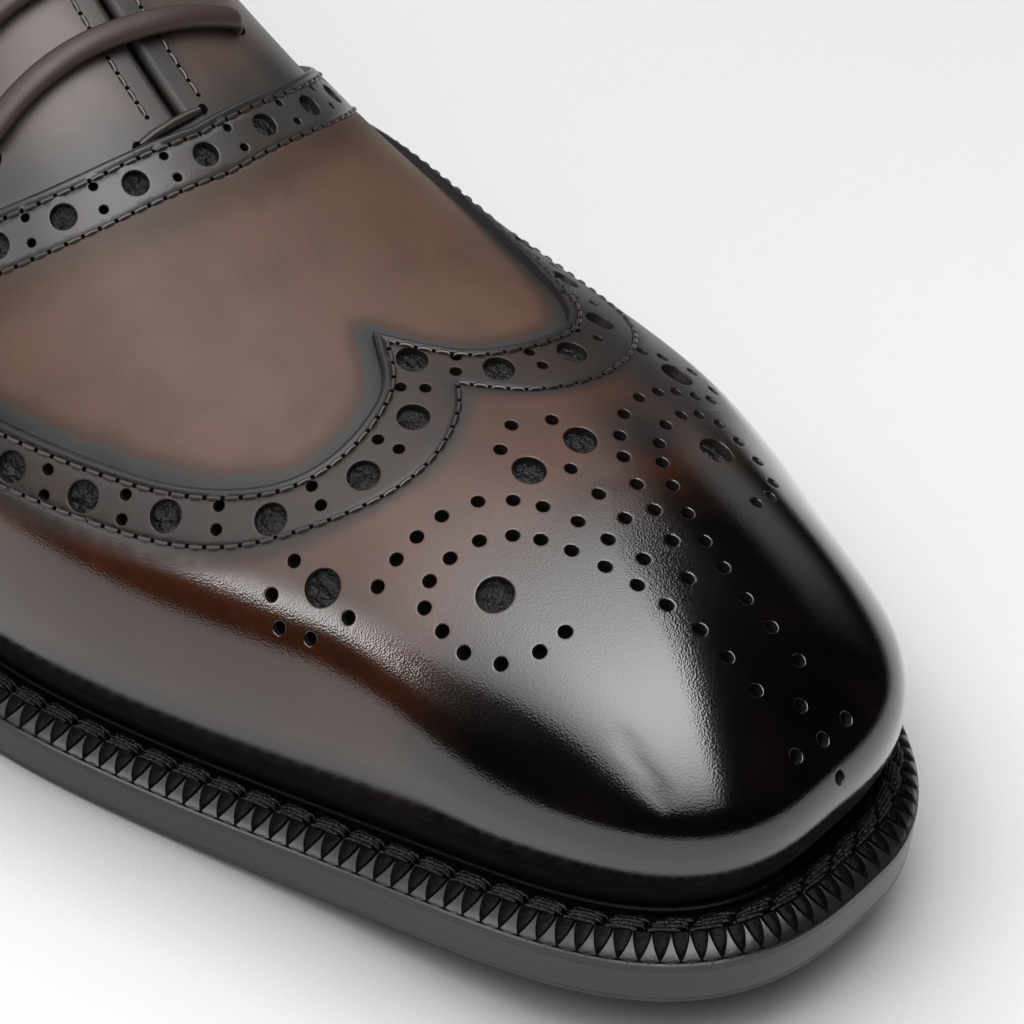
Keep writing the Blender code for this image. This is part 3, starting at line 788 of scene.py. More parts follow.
def lay_out(edge, outline, row, holes, rings, ring_edges):
    """Return a panel's flat points, the number that each was laid out with, and its triangles."""
    closed = np.concatenate([outline, outline[:1]])
    bands = [offset_line(edge, distance) for distance in EDGE_ROWS]
    bands += [row + ahead_of(row) * offset for offset in ROW_OFFSETS]
    loose = clear_points(np.concatenate(bands), outline, [(closed, ROWS_TO_OUTLINE)], holes, ROWS_TO_HOLES)
    gaps = [(closed, LATTICE_TO_OUTLINE), (edge, EDGE_ROWS[-1] + LATTICE_TO_EDGE_ROWS), (row, LATTICE_TO_ROW)]
    lattice = clear_points(hex_lattice(outline, LATTICE), outline, gaps, holes, LATTICE_TO_HOLES)
    first = len(rings)
    size = len(outline)
    edges = ring_edges + [(first + k, first + (k + 1) % size) for k in range(size)]
    laid = [Vector(spot) for spot in np.concatenate([rings, outline, loose, lattice])]
    spots, _, triangles, sources, *_ = delaunay_2d_cdt(laid, edges, [], 0, 1e-5)
    source = np.array([origin[0] if origin else -1 for origin in sources])
    return np.array([(spot.x, spot.y) for spot in spots]), source, np.array(list(triangles))


def build_panel(edge, front, row, holes, lift, floor_lift, finish_of):
    """Return the parts of a leather panel: skin with stitch troughs, holes, cut edge, turned-in foot."""
    outline = np.concatenate([edge, front])
    rings, drops, tilts, owners, middles, ring_edges = hole_rings(holes)
    flat, source, triangles = lay_out(edge, outline, row, holes, rings, ring_edges)
    first = len(rings)
    ringed = (source >= 0) & (source < first)
    picked = np.where(ringed, source, 0)
    owner = np.where(ringed, owners[picked], -1)
    corners = owner[triangles]
    punched = (corners[:, 0] >= 0) & (corners == corners[:, :1]).all(axis=1)
    triangles = triangles[inside_outline(flat[triangles].mean(axis=1), outline) & ~punched]

    points, by_x, by_girth, normals = skin_frame(flat)
    edge_gap, edge_way = polyline_gap(flat, edge)
    row_gap, row_way = polyline_gap(flat, row)
    lifts = lift + edge_profile(edge_gap) + row_profile(row_gap) + form_lift(flat)
    lifts = lifts - np.where(ringed, drops[picked], 0)

    def lifted_way(way, members=slice(None)):
        return unit(by_x[members] * way[:, :1] + by_girth[members] * way[:, 1:])

    lean = lifted_way(edge_way) * slope(edge_profile, edge_gap)[:, None]
    lean += lifted_way(row_way) * slope(row_profile, row_gap)[:, None]
    for tangent, step in ((by_x, (FORM_PROBE, 0)), (by_girth, (0, FORM_PROBE))):
        lean += tangent * ((form_lift(flat + step) - form_lift(flat - step)) / (2 * FORM_PROBE))[:, None]
    shading = unit(normals - lean)
    radial = lifted_way(flat - middles[picked])
    tilt = np.where(ringed, tilts[picked], 0)[:, None]
    shading = np.where(ringed[:, None], unit(shading * np.cos(tilt) - radial * np.sin(tilt)), shading)
    placed = points + normals * lifts[:, None]
    parts = MeshParts()
    parts.add(placed, triangles, 0, shading, *finish_of(flat, edge_gap, row_gap))

    def in_order(members):
        return members[np.argsort(source[members])]

    # Walls and floors of the punched holes
    for number, hole in enumerate(holes):
        members = in_order(np.flatnonzero(owner == number))
        size = len(members)
        if size < FEWEST_HOLE_SIDES:
            continue
        foot = placed[members] - normals[members] * (HOLE_DEPTH - RIM[-1][1])
        parts.add_strip(placed[members], foot, -radial[members], 1, 1.0, closed=True)
        floor = np.concatenate([foot, foot.mean(axis=0)[None]])
        up = np.broadcast_to(unit(normals[members].mean(axis=0)), floor.shape)
        k = np.arange(size)
        fan_faces = np.stack([k, np.roll(k, -1), np.full(size, size)], -1)
        # Small holes get a black floor of painted shade
        parts.add(floor, fan_faces, 2 if hole[2] > OPEN_HOLE else 3, up, 1.0)

    # Cut edge at the back, and the foot that turns in under the welt
    back = in_order(np.flatnonzero((source >= first) & (source < first + len(edge))))
    sunk = floor_lift + np.minimum(form_lift(flat[back]), 0)
    low = points[back] + normals[back] * sunk[:, None]
    parts.add_strip(placed[back], low, -lifted_way(ahead_of(flat[back]), back), 1, 1.0)
    foot = in_order(np.flatnonzero((source >= first + len(edge)) & (source < first + len(outline))))
    on_feather = to_feather(flat[foot]) < ON_FEATHER
    for stretch in np.split(np.arange(len(foot)), np.flatnonzero(np.diff(on_feather.astype(int))) + 1):
        if len(stretch) >= 3 and on_feather[stretch[0]]:
            members = foot[stretch]
            below = placed[members] - (0, 0, FOOT_TURN_DOWN) - normals[members] * FOOT_TURN_IN
            # The turned-in foot is black: painted shade under the welt
            parts.add_strip(placed[members], below, shading[members], 0, 1.0)
    return parts


def stitch_parts(parts, line, normals, pitch, length, radius, sink, phase=0.5):
    """Add thread stitches along a polyline that lies on the leather, each end dipping into it."""
    lengths = lengths_along(line)
    count = max(1, int((lengths[-1] - pitch * phase) / pitch))
    centres = (np.arange(count) + phase) * pitch
    stations, rises, widths = np.array(STITCH).T
    at = np.clip(centres[:, None] + stations * length / 2, 0, lengths[-1])
    path = spots_along(at, lengths, line)
    up = unit(spots_along(at, lengths, normals))
    run = unit(np.gradient(path, axis=1))
    middle = path + up * (radius * rises - sink)[:, None]
    ring = fan(unit(np.cross(up, run)), up, full_turn(THREAD_SIDES))
    points = middle[:, :, None] + ring * (radius * widths)[:, None, None]
    starts = np.arange(count) * len(STITCH) * THREAD_SIDES
    quads = starts[:, None, None] + loop_faces(len(STITCH), THREAD_SIDES)
    parts.add(points, quads.reshape(-1, 4), 0, ring)


def needle_parts(parts, line, normals, pitch, radius):
    """Add the needle pricks between stitches: black discs of painted shade in the needle holes."""
    lengths = lengths_along(line)
    at = np.arange(0.0, lengths[-1], pitch)
    path = spots_along(at, lengths, line)
    up = unit(spots_along(at, lengths, normals))
    run = unit(spots_along(at + PRICK_PROBE, lengths, line) - path + 1e-9)
    ring = fan(run * PRICK_SQUASH, unit(np.cross(up, run)), full_turn(THREAD_SIDES))
    points = path[:, None] + ring * radius + up[:, None] * PRICK_RISE
    faces = np.arange(len(at) * THREAD_SIDES).reshape(-1, THREAD_SIDES)
    parts.add(points, faces, 1, up.repeat(THREAD_SIDES, axis=0), 1.0)


def on_skin(flat_line, lift):
    """Return points and normals of a flat line at a height above the skin."""
    points, _, _, normals = skin_frame(flat_line)
    return points + normals * np.reshape(lift, (-1, 1)), normals


# Materials

# Leather: gloss from dull to bright, mottle and grain
GLOSS = (("Roughness", (0.55, 0.1)), ("Coat Roughness", (0.5, 0.05)), ("Coat Weight", (0.0, 1.0)))
MOTTLE_SIZE = 9.0
MOTTLE_DETAIL = 4.0
MOTTLE_RANGE = (0.3, 0.7)
MOTTLE = 0.1
GRAIN_SIZE = 0.27
GRAIN_DEPTH = 0.05
FIBRE_SIZE = 0.702
FIBRE_DETAIL = 5.0
FIBRE_WEIGHT = 0.12
COAT_ROUGHNESS = 0.15
BUMP_DETAIL = 6.0
FINE = 0.06


class Finish:
    """A material under construction, with its nodes and its shader."""

    def __init__(self, name):
        self.material = bpy.data.materials.new(name)
        self.material.use_nodes = True
        self.nodes = self.material.node_tree.nodes
        self.links = self.material.node_tree.links
        self.shader = self.nodes["Principled BSDF"]

    def texture(self, kind, size):
        """Return a texture node over object space with features of a size in millimetres."""
        space = self.nodes.new("ShaderNodeTexCoord")
        texture = self.nodes.new(kind)
        texture.inputs["Scale"].default_value = 1 / (size * MM)
        self.links.new(space.outputs["Object"], texture.inputs["Vector"])
        return texture

    def noise(self, size, detail):
        """Return a noise value."""
        noise = self.texture("ShaderNodeTexNoise", size)
        noise.inputs["Detail"].default_value = detail
        return noise.outputs["Fac"]

    def attribute(self, name):
        """Return a value that the mesh carries."""
        node = self.nodes.new("ShaderNodeAttribute")
        node.attribute_name = name
        return node.outputs["Fac"]

    def mapped(self, value, source, target, kind="LINEAR"):
        """Return a value carried from a source range to a target range."""
        node = self.nodes.new("ShaderNodeMapRange")
        node.interpolation_type = kind
        for socket, end in zip(("From Min", "From Max", "To Min", "To Max"), (*source, *target)):
            node.inputs[socket].default_value = end
        self.links.new(value, node.inputs["Value"])
        return node.outputs["Result"]

    def maths(self, operation, *terms):
        """Return the result of a calculation; each term is a number or a value."""
        node = self.nodes.new("ShaderNodeMath")
        node.operation = operation
        for socket, term in zip(node.inputs, terms):
            if isinstance(term, float):
                socket.default_value = term
            else:
                self.links.new(term, socket)
        return node.outputs["Value"]

    def bump(self, height, strength, depth, *sockets):
        """Lead a bump of a depth in millimetres to the shader's sockets."""
        bump = self.nodes.new("ShaderNodeBump")
        bump.inputs["Strength"].default_value = strength
        bump.inputs["Distance"].default_value = depth * MM
        self.links.new(height, bump.inputs["Height"])
        for socket in sockets:
            self.links.new(bump.outputs["Normal"], self.shader.inputs[socket])

    def set(self, **values):
        """Set the shader's sockets, named with underscores for spaces."""
        for socket, value in values.items():
            self.shader.inputs[socket.replace("_", " ")].default_value = value


def leather_material(name, ramp, grain, specular=0.5):
    """Return leather coloured by darkness, which carries burnish and painted shade, gloss by polish, mottled,
    with a fine grain.
    """
    finish = Finish(name)
    finish.set(Specular_IOR_Level=specular)
    mottle = finish.mapped(finish.noise(MOTTLE_SIZE, MOTTLE_DETAIL), MOTTLE_RANGE, (-MOTTLE, MOTTLE))
    colours = finish.nodes.new("ShaderNodeValToRGB")
    stops = colours.color_ramp.elements
    for stop, (position, colour) in zip(stops, (ramp[0], ramp[-1])):
        stop.position = position
        stop.color = (*colour, 1)
    for position, colour in ramp[1:-1]:
        stops.new(position).color = (*colour, 1)
    finish.links.new(finish.maths("ADD", finish.attribute("darkness"), mottle), colours.inputs["Fac"])
    finish.links.new(colours.outputs["Color"], finish.shader.inputs["Base Color"])
    for socket, dull_to_bright in GLOSS:
        gloss = finish.mapped(finish.attribute("polish"), (0.0, 1.0), dull_to_bright)
        finish.links.new(gloss, finish.shader.inputs[socket])
    pebble = finish.texture("ShaderNodeTexVoronoi", GRAIN_SIZE)
    pebble.feature = "F1"
    fibre = finish.noise(FIBRE_SIZE, FIBRE_DETAIL)
    height = finish.maths("MULTIPLY_ADD", fibre, FIBRE_WEIGHT, pebble.outputs["Distance"])
    finish.bump(height, grain, GRAIN_DEPTH, "Normal", "Coat Normal")
    return finish.material


def plain_material(name, colour, roughness, coat=0.0, bump=None, specular=0.5):
    """Return a plain finish with an optional fine bump: size, strength, depth."""
    finish = Finish(name)
    finish.set(Base_Color=(*colour, 1), Roughness=roughness, Coat_Weight=coat, Coat_Roughness=COAT_ROUGHNESS,
               Specular_IOR_Level=specular)
    if bump:
        size, strength, depth = bump
        finish.bump(finish.noise(size, BUMP_DETAIL), strength, depth, "Normal")
    return finish.material


# Colours by darkness
PATINA = (
    (0.0, (0.060, 0.017, 0.005)),
    (0.35, (0.024, 0.0060, 0.0022)),
    (0.65, (0.0075, 0.0033, 0.0022)),
    (1.0, (0.0006, 0.0006, 0.0006)),
)
# The vamp's patina made greyer, turning neutral grey at 0.65 where its band lies: patina with a painted grey
# sheen
VAMP_PATINA_AND_SHEEN = (
    (0.0, (0.088, 0.047, 0.030)),
    (0.35, (0.045, 0.022, 0.014)),
    (0.65, (0.026, 0.025, 0.024)),
    (1.0, (0.0012, 0.0012, 0.0012)),
)
QUARTER_PATINA = (
    (0.0, (0.105, 0.076, 0.066)),
    (0.35, (0.055, 0.036, 0.030)),
    (0.65, (0.020, 0.018, 0.017)),
    (1.0, (0.0012, 0.0012, 0.0012)),
)
WING_LEATHER = leather_material("wing_leather", PATINA, 0.2)
VAMP_LEATHER = leather_material("vamp_leather", VAMP_PATINA_AND_SHEEN, 0.25, specular=0.4)
QUARTER_LEATHER = leather_material("quarter_leather", QUARTER_PATINA, 0.25)
TONGUE = leather_material("tongue_leather", PATINA, 0.2)
CUT_EDGE = plain_material("cut_edge", (0.010, 0.007, 0.006), 0.5)
HOLE_FLOOR = plain_material("hole_floor", (0.003, 0.0027, 0.0025), 0.4, bump=(1.5, 1.0, 2.2))
THREAD = plain_material("seam_thread", (0.020, 0.014, 0.012), 0.34, 0.3)
# Black and barely reflecting: painted shade in the needle holes, the small punched holes and the eyelets
PAINTED_HOLE_SHADE = plain_material("painted_hole_shade", (0.001, 0.001, 0.001), 1.0, specular=0.05)
LINING = plain_material("lining_leather", (0.26, 0.13, 0.06), 0.55, bump=(0.6, 0.3, FINE))
INSOLE = plain_material("insole_leather", (0.24, 0.12, 0.055), 0.5, 0.05, (0.8, 0.3, FINE))
WELT = plain_material("welt_leather", (0.0012, 0.0012, 0.0011), 0.36, 0.0, (0.9, 1.0, 0.2), 0.06)
WELT_EDGE = plain_material("welt_edge", (0.009, 0.008, 0.0075), 0.34, 0.22, (0.9, 0.6, 0.12))
WELT_THREAD = plain_material("welt_thread", (0.0014, 0.0013, 0.0013), 0.28, 0.0, (0.5, 1.0, 0.35), 0.26)
SOLE_EDGE = plain_material("outsole_leather", (0.016, 0.0145, 0.0135), 0.34, 0.3, (1.2, 0.25, FINE))
TREAD = plain_material("tread_leather", (0.20, 0.11, 0.055), 0.6, bump=(1.0, 0.3, FINE))
HEEL = plain_material("heel_leather", (0.012, 0.009, 0.008), 0.34, 0.15, (1.2, 0.25, FINE))
RUBBER = plain_material("top_lift_rubber", (0.012, 0.012, 0.012), 0.65, bump=(0.5, 0.3, FINE))
LACE = plain_material("lace_cotton", (0.036, 0.021, 0.017), 0.45, 0.05, (0.3, 0.6, 0.12))


# Wing and vamp

def darkest(*terms):
    """Return the darkest of several darkenings at each point: burnishes and painted shade."""
    return np.clip(np.maximum.reduce(np.broadcast_arrays(*terms)), 0, 1)


def wing_finish(flat, edge_gap, row_gap):
    """Return the darkness and polish of the wing: burnish of its band and toe, darker on its wall, by its
    edge and row, on its medial side and in a patch by the medallion, and painted shade at its foot.
    """
    x, girth = flat.T
    foot = to_feather(flat)
    wall = smooth(36, 28, foot)
    band = 0.56 * smooth(10.5, 8.0, edge_gap)
    row = 0.75 * bell(row_gap, 1.2)
    edge = 0.95 * bell(edge_gap, 1.3)
    toe = smooth(242, 266, x)
    medial = 0.85 * smooth(8, 26, girth)
    patch = 0.68 * bell(np.hypot(x - 247, girth - 11.5), 5.5)
    # The term at the foot turns it black near the feather line: painted shade where the upper meets the welt,
    # partly burnish
    dark = darkest(0.08 + 0.24 * wall, band, row, edge, toe, medial, patch, 0.98 * smooth(20, 3, foot))
    shine = np.maximum(0.87 * wall, 0.32 + 0.58 * smooth(238, 260, x))
    return dark, shine * (1 - 0.55 * smooth(11, 8.5, edge_gap)) * smooth(0.5, 8.5, foot)


def vamp_finish(flat, edge_gap, row_gap):
    """Return the darkness and polish of the vamp: burnish of its band, row and edge, painted shade with some
    burnish beside the wing's edge, and painted shade at its foot.
    """
    wing_gap, _ = polyline_gap(flat, WING_LINE)
    band = smooth(7.6, 6.4, edge_gap)
    row = 0.4 * bell(np.maximum(row_gap - 0.5, 0), 3.0)
    # Beside the wing's edge: painted shade under the wing's step, with some burnish
    beside_wing = 0.75 * bell(np.maximum(wing_gap - 0.3, 0), 1.8)
    edge = 0.95 * bell(edge_gap, 1.2)
    # Black near the feather line: painted shade where the vamp meets the welt, partly burnish
    foot = 0.98 * smooth(26, 4, to_feather(flat))
    return darkest(0.05 + 0.58 * band, row, beside_wing, edge, foot), 0.4 * band


WING_LINE = medial_lead(shifted(mirrored_curve(WING_EDGE, EDGE_STEP)))
WING_ROW_LINE = medial_lead(shifted(mirrored_curve(WING_ROW, EDGE_STEP), WING_ROW_AXIS))
VAMP_LINE = mirrored_curve(VAMP_EDGE, EDGE_STEP)
for line in (WING_LINE, WING_ROW_LINE, VAMP_LINE):
    for end in (0, -1):
        x, girth = line[end]
        line[end, 1] = math.copysign(float(whole_girth(along_at(x), girth)), girth)
VAMP_ROW_LINE = offset_line(VAMP_LINE, VAMP_ROW_OFFSET)


def both_sides(rows):
    """Return holes given for one side on both sides; those on the axis once."""
    return [(x, sign * girth, radius) for x, girth, radius in rows for sign in ((1, -1) if girth else (1,))]


def band_holes(line, radius, small_radius):
    """Return the big holes along a band, and the small ones in pairs between them."""
    holes = [(x, girth, radius) for x, girth in line]
    for before, after in zip(line[:-1], line[1:]):
        run = unit(after - before)
        aside = np.array([run[1], -run[0]]) * BAND_PAIR_SPREAD
        holes += [(*((before + after) / 2 + sign * aside), small_radius) for sign in (-1, 1)]
    return holes


def wing_holes():
    """Return every punched hole of the wing: medallion and band."""
    holes = both_sides(BIG_HOLES)
    holes += [(x, 0.0, SMALL_HOLE) for x in MIDDLE_HOLES]
    holes += both_sides([(x, girth, SMALL_HOLE) for x, girth in SIDE_HOLES])
    places = drawn_in(shifted([hole[:2] for hole in holes]))
    holes = [(x, girth, hole[2]) for (x, girth), hole in zip(places, holes)]
    medial = np.array(BAND_HOLES, float)
    lateral = medial[:0:-1] * (1, -1)
    return holes + band_holes(shifted(np.concatenate([lateral, medial])), BAND_HOLE, BAND_SMALL_HOLE)


def vamp_holes():
    """Return every punched hole of the vamp's band."""
    middle = offset_line(VAMP_LINE, VAMP_BAND_OFFSET)
    lengths = lengths_along(middle)
    start = np.interp(0.0, middle[:, 1], lengths) - VAMP_BAND_SHIFT
    first = start - math.floor((start - VAMP_BAND_END) / VAMP_BAND_PITCH) * VAMP_BAND_PITCH
    at = np.arange(first, lengths[-1] - VAMP_BAND_END, VAMP_BAND_PITCH)
    return band_holes(spots_along(at, lengths, middle), VAMP_HOLE, VAMP_SMALL_HOLE)


def build_wing():
    """The wing cap over the toe."""
    medial = feather_flat(1.0, along_at(WING_LINE[-1, 0]), 3)
    lateral = feather_flat(-1.0, 3, along_at(WING_LINE[0, 0]))
    front = np.concatenate([medial[1:], lateral[1:-1]])
    row = WING_ROW_LINE[1:-1]
    floor_lift = VAMP_LIFT - EDGE_OVERLAP
    parts = build_panel(WING_LINE, front, row, wing_holes(), WING_LIFT, floor_lift, wing_finish)
    parts.build("wing", [WING_LEATHER, CUT_EDGE, HOLE_FLOOR, PAINTED_HOLE_SHADE], ["wing_cap"], "wing_leather")


def build_vamp():
    """The vamp, from its band to where it goes under the wing."""
    medial = feather_flat(1.0, along_at(VAMP_LINE[-1, 0]), along_at(WING_ROW_LINE[-1, 0]))
    lateral = feather_flat(-1.0, along_at(WING_ROW_LINE[0, 0]), along_at(VAMP_LINE[0, 0]))
    front = np.concatenate([medial[1:-1], WING_ROW_LINE[::-1], lateral[1:-1]])
    row = VAMP_ROW_LINE[2:-2]
    floor_lift = QUARTER_LIFT - EDGE_OVERLAP
    parts = build_panel(VAMP_LINE, front, row, vamp_holes(), VAMP_LIFT, floor_lift, vamp_finish)
    parts.build("vamp_panel", [VAMP_LEATHER, CUT_EDGE, HOLE_FLOOR, PAINTED_HOLE_SHADE], ["vamp"], "vamp_leather")


# Quarters, tongue and lining

def across_at_height(along, side, height):
    """Return the across angle where the skin reaches a height."""
    angles = np.linspace(QUARTER_TURN, 0, 400)
    heights = last_point(along, side * angles)[:, 2]
    return side * np.interp(height, heights, angles)


def top_edge(along, side):
    """Return the across angle of the upper's top edge: crest, slit or collar."""
    x = float(last_point(along, side * QUARTER_TURN)[0])
    if along > along_at(SLIT_FRONT) - 1e-6:
        return 0.0
    angles = [0.0]
    if x > SLIT_BACK:
        angles.append(abs(float(across_at(along, side, np.array(SLIT_HALF_GAP)))))
    name = "lateral" if side < 0 else "medial"
    if x < TOPLINE[-1][0]:
        angles.append(abs(float(across_at_height(along, side, float(TOPLINE_HEIGHT[name](x))))))
    return max(angles)


QUARTER_STATIONS = joined((0, 1, along_at(108.0), along_at(130.0), along_at(SLIT_FRONT), 2, 3),
                          (41, 50, 45, 50, 30, 25))
QUARTER_ROWS = 44
QUARTER_SPACING = 0.9
QUARTER_FORM_FADE = 4
QUARTER_POLISH = 0.25
ROLL_ROWS = 7
ROLL_DARKNESS = 0.6


def quarter_darkness(along, across, edge):
    """Return the darkness of the quarters: burnish beside the vamp, the slit and the collar, darker towards
    the heel, and painted shade near the sole.
    """
    side = np.where(across < 0, -1.0, 1.0)
    down = np.abs(across) / QUARTER_TURN
    x = HEEL_ROUND + WAIST_LENGTH * (along - 1)
    flat = np.stack([x, side * down * whole_girth(along, side)], -1)
    vamp_gap, _ = polyline_gap(flat.reshape(-1, 2), VAMP_LINE)
    beside_vamp = 0.22 + 0.45 * bell(vamp_gap.reshape(x.shape), 3.0)
    at_top = 0.65 * bell((np.abs(across) - edge) * 40, 3.0)
    # Black near the feather line: painted shade where the quarters meet the welt, partly burnish
    return darkest(beside_vamp, at_top, 0.95 * smooth(0.75, 0.98, down), 0.55 * smooth(1.0, 0.2, along))


def build_quarters():
    """Quarters outside and lining inside, joined by a rolled top edge."""
    parts = MeshParts()
    count = len(QUARTER_STATIONS)
    faces = grid_faces(count, QUARTER_ROWS)
    share = np.linspace(0, 1, QUARTER_ROWS) ** QUARTER_SPACING
    for side in (-1.0, 1.0):
        tops = np.array([top_edge(along, side) for along in QUARTER_STATIONS])
        across = side * (QUARTER_TURN + (tops[:, None] - QUARTER_TURN) * share)
        along = np.broadcast_to(QUARTER_STATIONS[:, None], across.shape)
        points, normals = section_frame(along, across)
        dark = quarter_darkness(along, across, tops[:, None]).ravel()
        steps = np.linalg.norm(np.diff(points, axis=1), axis=2)
        gap = np.concatenate([np.zeros((count, 1)), np.cumsum(steps, axis=1)], axis=1)
        form = wall_form(points[..., 0], gap) * smooth(*QUARTER_FORM_RUN, points[..., 0])
        lift = QUARTER_LIFT + form * (1 - share ** QUARTER_FORM_FADE)
        parts.add(points + normals * lift[..., None], faces, 0, normals, dark, QUARTER_POLISH)
        parts.add(points + normals * LINING_LIFT, faces, 1, -normals)
        up = unit(points[:, -1] - points[:, -2])
        middle = points[:, -1] + normals[:, -1] * (QUARTER_LIFT + LINING_LIFT) / 2
        ways = fan(normals[:, -1], up, np.linspace(0, math.pi, ROLL_ROWS))
        roll = middle[:, None] + ways * (QUARTER_LIFT - LINING_LIFT) / 2
        last_open = int(np.flatnonzero(tops > 1e-4)[-1]) + 1
        parts.add(roll, grid_faces(last_open, ROLL_ROWS), 0, ways, ROLL_DARKNESS)
    parts.build("quarters", [QUARTER_LEATHER, LINING], ["upper"], "quarter_leather")


TONGUE_RUN = (113.0, 206.0)
TONGUE_ROUND = 22.0
TONGUE_NARROWING = 0.35
TONGUE_HALF_ANGLE = math.radians(30)
TONGUE_COLUMNS = 70
TONGUE_ROWS = 25
TONGUE_RIM_DARKNESS = 0.8


def build_tongue():
    """The tongue under the slit, with a rounded free end."""
    columns = np.linspace(along_at(TONGUE_RUN[0]), along_at(TONGUE_RUN[1]), TONGUE_COLUMNS)
    to_end = np.clip((columns - columns[0]) * WAIST_LENGTH / TONGUE_ROUND, 0, 1)
    half_angles = TONGUE_HALF_ANGLE * (1 - TONGUE_NARROWING * (1 - np.sqrt(1 - (1 - to_end) ** 2)))
    across = half_angles[:, None] * np.linspace(-1, 1, TONGUE_ROWS)
    points, normals = section_frame(np.broadcast_to(columns[:, None], across.shape), across)
    normals = normals.reshape(-1, 3)
    outer = points.reshape(-1, 3) + normals * TONGUE_LIFT
    inner = outer - normals * TONGUE_THICKNESS
    faces = grid_faces(TONGUE_COLUMNS, TONGUE_ROWS)
    parts = MeshParts()
    # The tongue's face is painted black and its rim nearly so: painted shade seen through the slit
    parts.add(outer, faces, 0, normals, 1.0)
    parts.add(inner, faces, 1, -normals)
    index = np.arange(TONGUE_COLUMNS * TONGUE_ROWS).reshape(TONGUE_COLUMNS, TONGUE_ROWS)
    border = np.concatenate([index[:, 0], index[-1, 1:], index[-2::-1, -1], index[0, -2:0:-1]])
    away = unit(outer[border] - outer.mean(axis=0))
    parts.add_strip(outer[border], inner[border], away, 0, TONGUE_RIM_DARKNESS, closed=True)
    parts.build("tongue_leaf", [TONGUE, LINING], ["tongue"], "tongue_leather")


# Lace: half width and half height, rise over the skin, dive into the eyelets, sway
LACE_HALF_WIDTH = 1.8
LACE_HALF_HEIGHT = 1.15
LACE_RISE = 0.55
LACE_DIVE = 3.2
LACE_DIVE_RUN = 3.2
LACE_DIVE_CURVE = 1.5
LACE_END_NARROWING = 0.35
LACE_END_THICKENING = 0.1
LACE_SWAY = 0.9
LACE_SWAY_PACE = 0.09
LACE_POINTS = 65
LACE_SIDES = 20
EYELET_RADIUS = 2.0
EYELET_RISE = 0.03
EYELET_SIDES = 24


def build_lace():
    """Straight bars of lace that turn down into eyelets at both ends, each a black disc of painted shade."""
    parts = MeshParts()
    girths = np.linspace(-LATERAL_EYELET, MEDIAL_EYELET, LACE_POINTS)
    dive = smooth(LACE_DIVE_RUN, 0.0, np.minimum(girths + LATERAL_EYELET, MEDIAL_EYELET - girths))
    width = LACE_HALF_WIDTH * (1 - LACE_END_NARROWING * dive)[:, None]
    height = LACE_HALF_HEIGHT * (1 + LACE_END_THICKENING * dive)[:, None]
    for bar in range(LACE_BARS):
        x = LACE_FIRST - bar * LACE_PITCH
        flat = np.stack([x + LACE_SWAY * np.sin(girths * LACE_SWAY_PACE + bar), girths], -1)
        points, by_x, _, normals = skin_frame(flat)
        path = points + normals * (LACE_RISE - LACE_DIVE * dive ** LACE_DIVE_CURVE)[:, None]
        run = unit(np.gradient(path, axis=0))
        forward = unit(by_x - run * (by_x * run).sum(-1, keepdims=True))
        up = unit(np.cross(forward, run))
        tube = path[:, None] + fan(forward * width, up * height, full_turn(LACE_SIDES))
        ways = unit(fan(forward / width, up / height, full_turn(LACE_SIDES)))
        parts.add(tube, loop_faces(LACE_POINTS, LACE_SIDES), 0, ways)
        spots = np.array([(x, -LATERAL_EYELET), (x, MEDIAL_EYELET)])
        middle, by_x, _, normals = skin_frame(spots)
        middle = middle + normals * (QUARTER_LIFT + EYELET_RISE)
        circle = fan(unit(by_x), unit(np.cross(normals, unit(by_x))), full_turn(EYELET_SIDES))
        faces = np.arange(len(spots) * EYELET_SIDES).reshape(-1, EYELET_SIDES)
        discs = middle[:, None] + circle * EYELET_RADIUS
        parts.add(discs, faces, 1, normals.repeat(EYELET_SIDES, axis=0))
    parts.build("lace", [LACE, PAINTED_HOLE_SHADE], [f"lace_bar_{bar + 1}" for bar in range(LACE_BARS)], "lace_cotton")


# Sole

SOLE_STATIONS = joined((0, 1, 2, 3), (61, 121, 91))
# The outsole's edge from its top down: inset, height
SOLE_PROFILE = (
    (0.55, SOLE_TOP), (0.4, SOLE_TOP - 0.1), (0.35, SOLE_TOP - 1.6), (0.32, SOLE_TOP - 3.0),
    (0.38, SOLE_TOP - 4.4), (0.46, SOLE_TREAD + 1.15), (0.36, SOLE_TREAD + 0.95), (0.38, SOLE_TREAD + 0.6),
    (0.9, SOLE_TREAD + 0.12), (1.6, SOLE_TREAD),
)
SOLE_INNER = ((-4.4, -0.4), (-4.4, SOLE_TOP))
INSOLE_PROFILE = ((-4.6, 2.6), (-4.1, 2.2), (-4.1, -0.1))


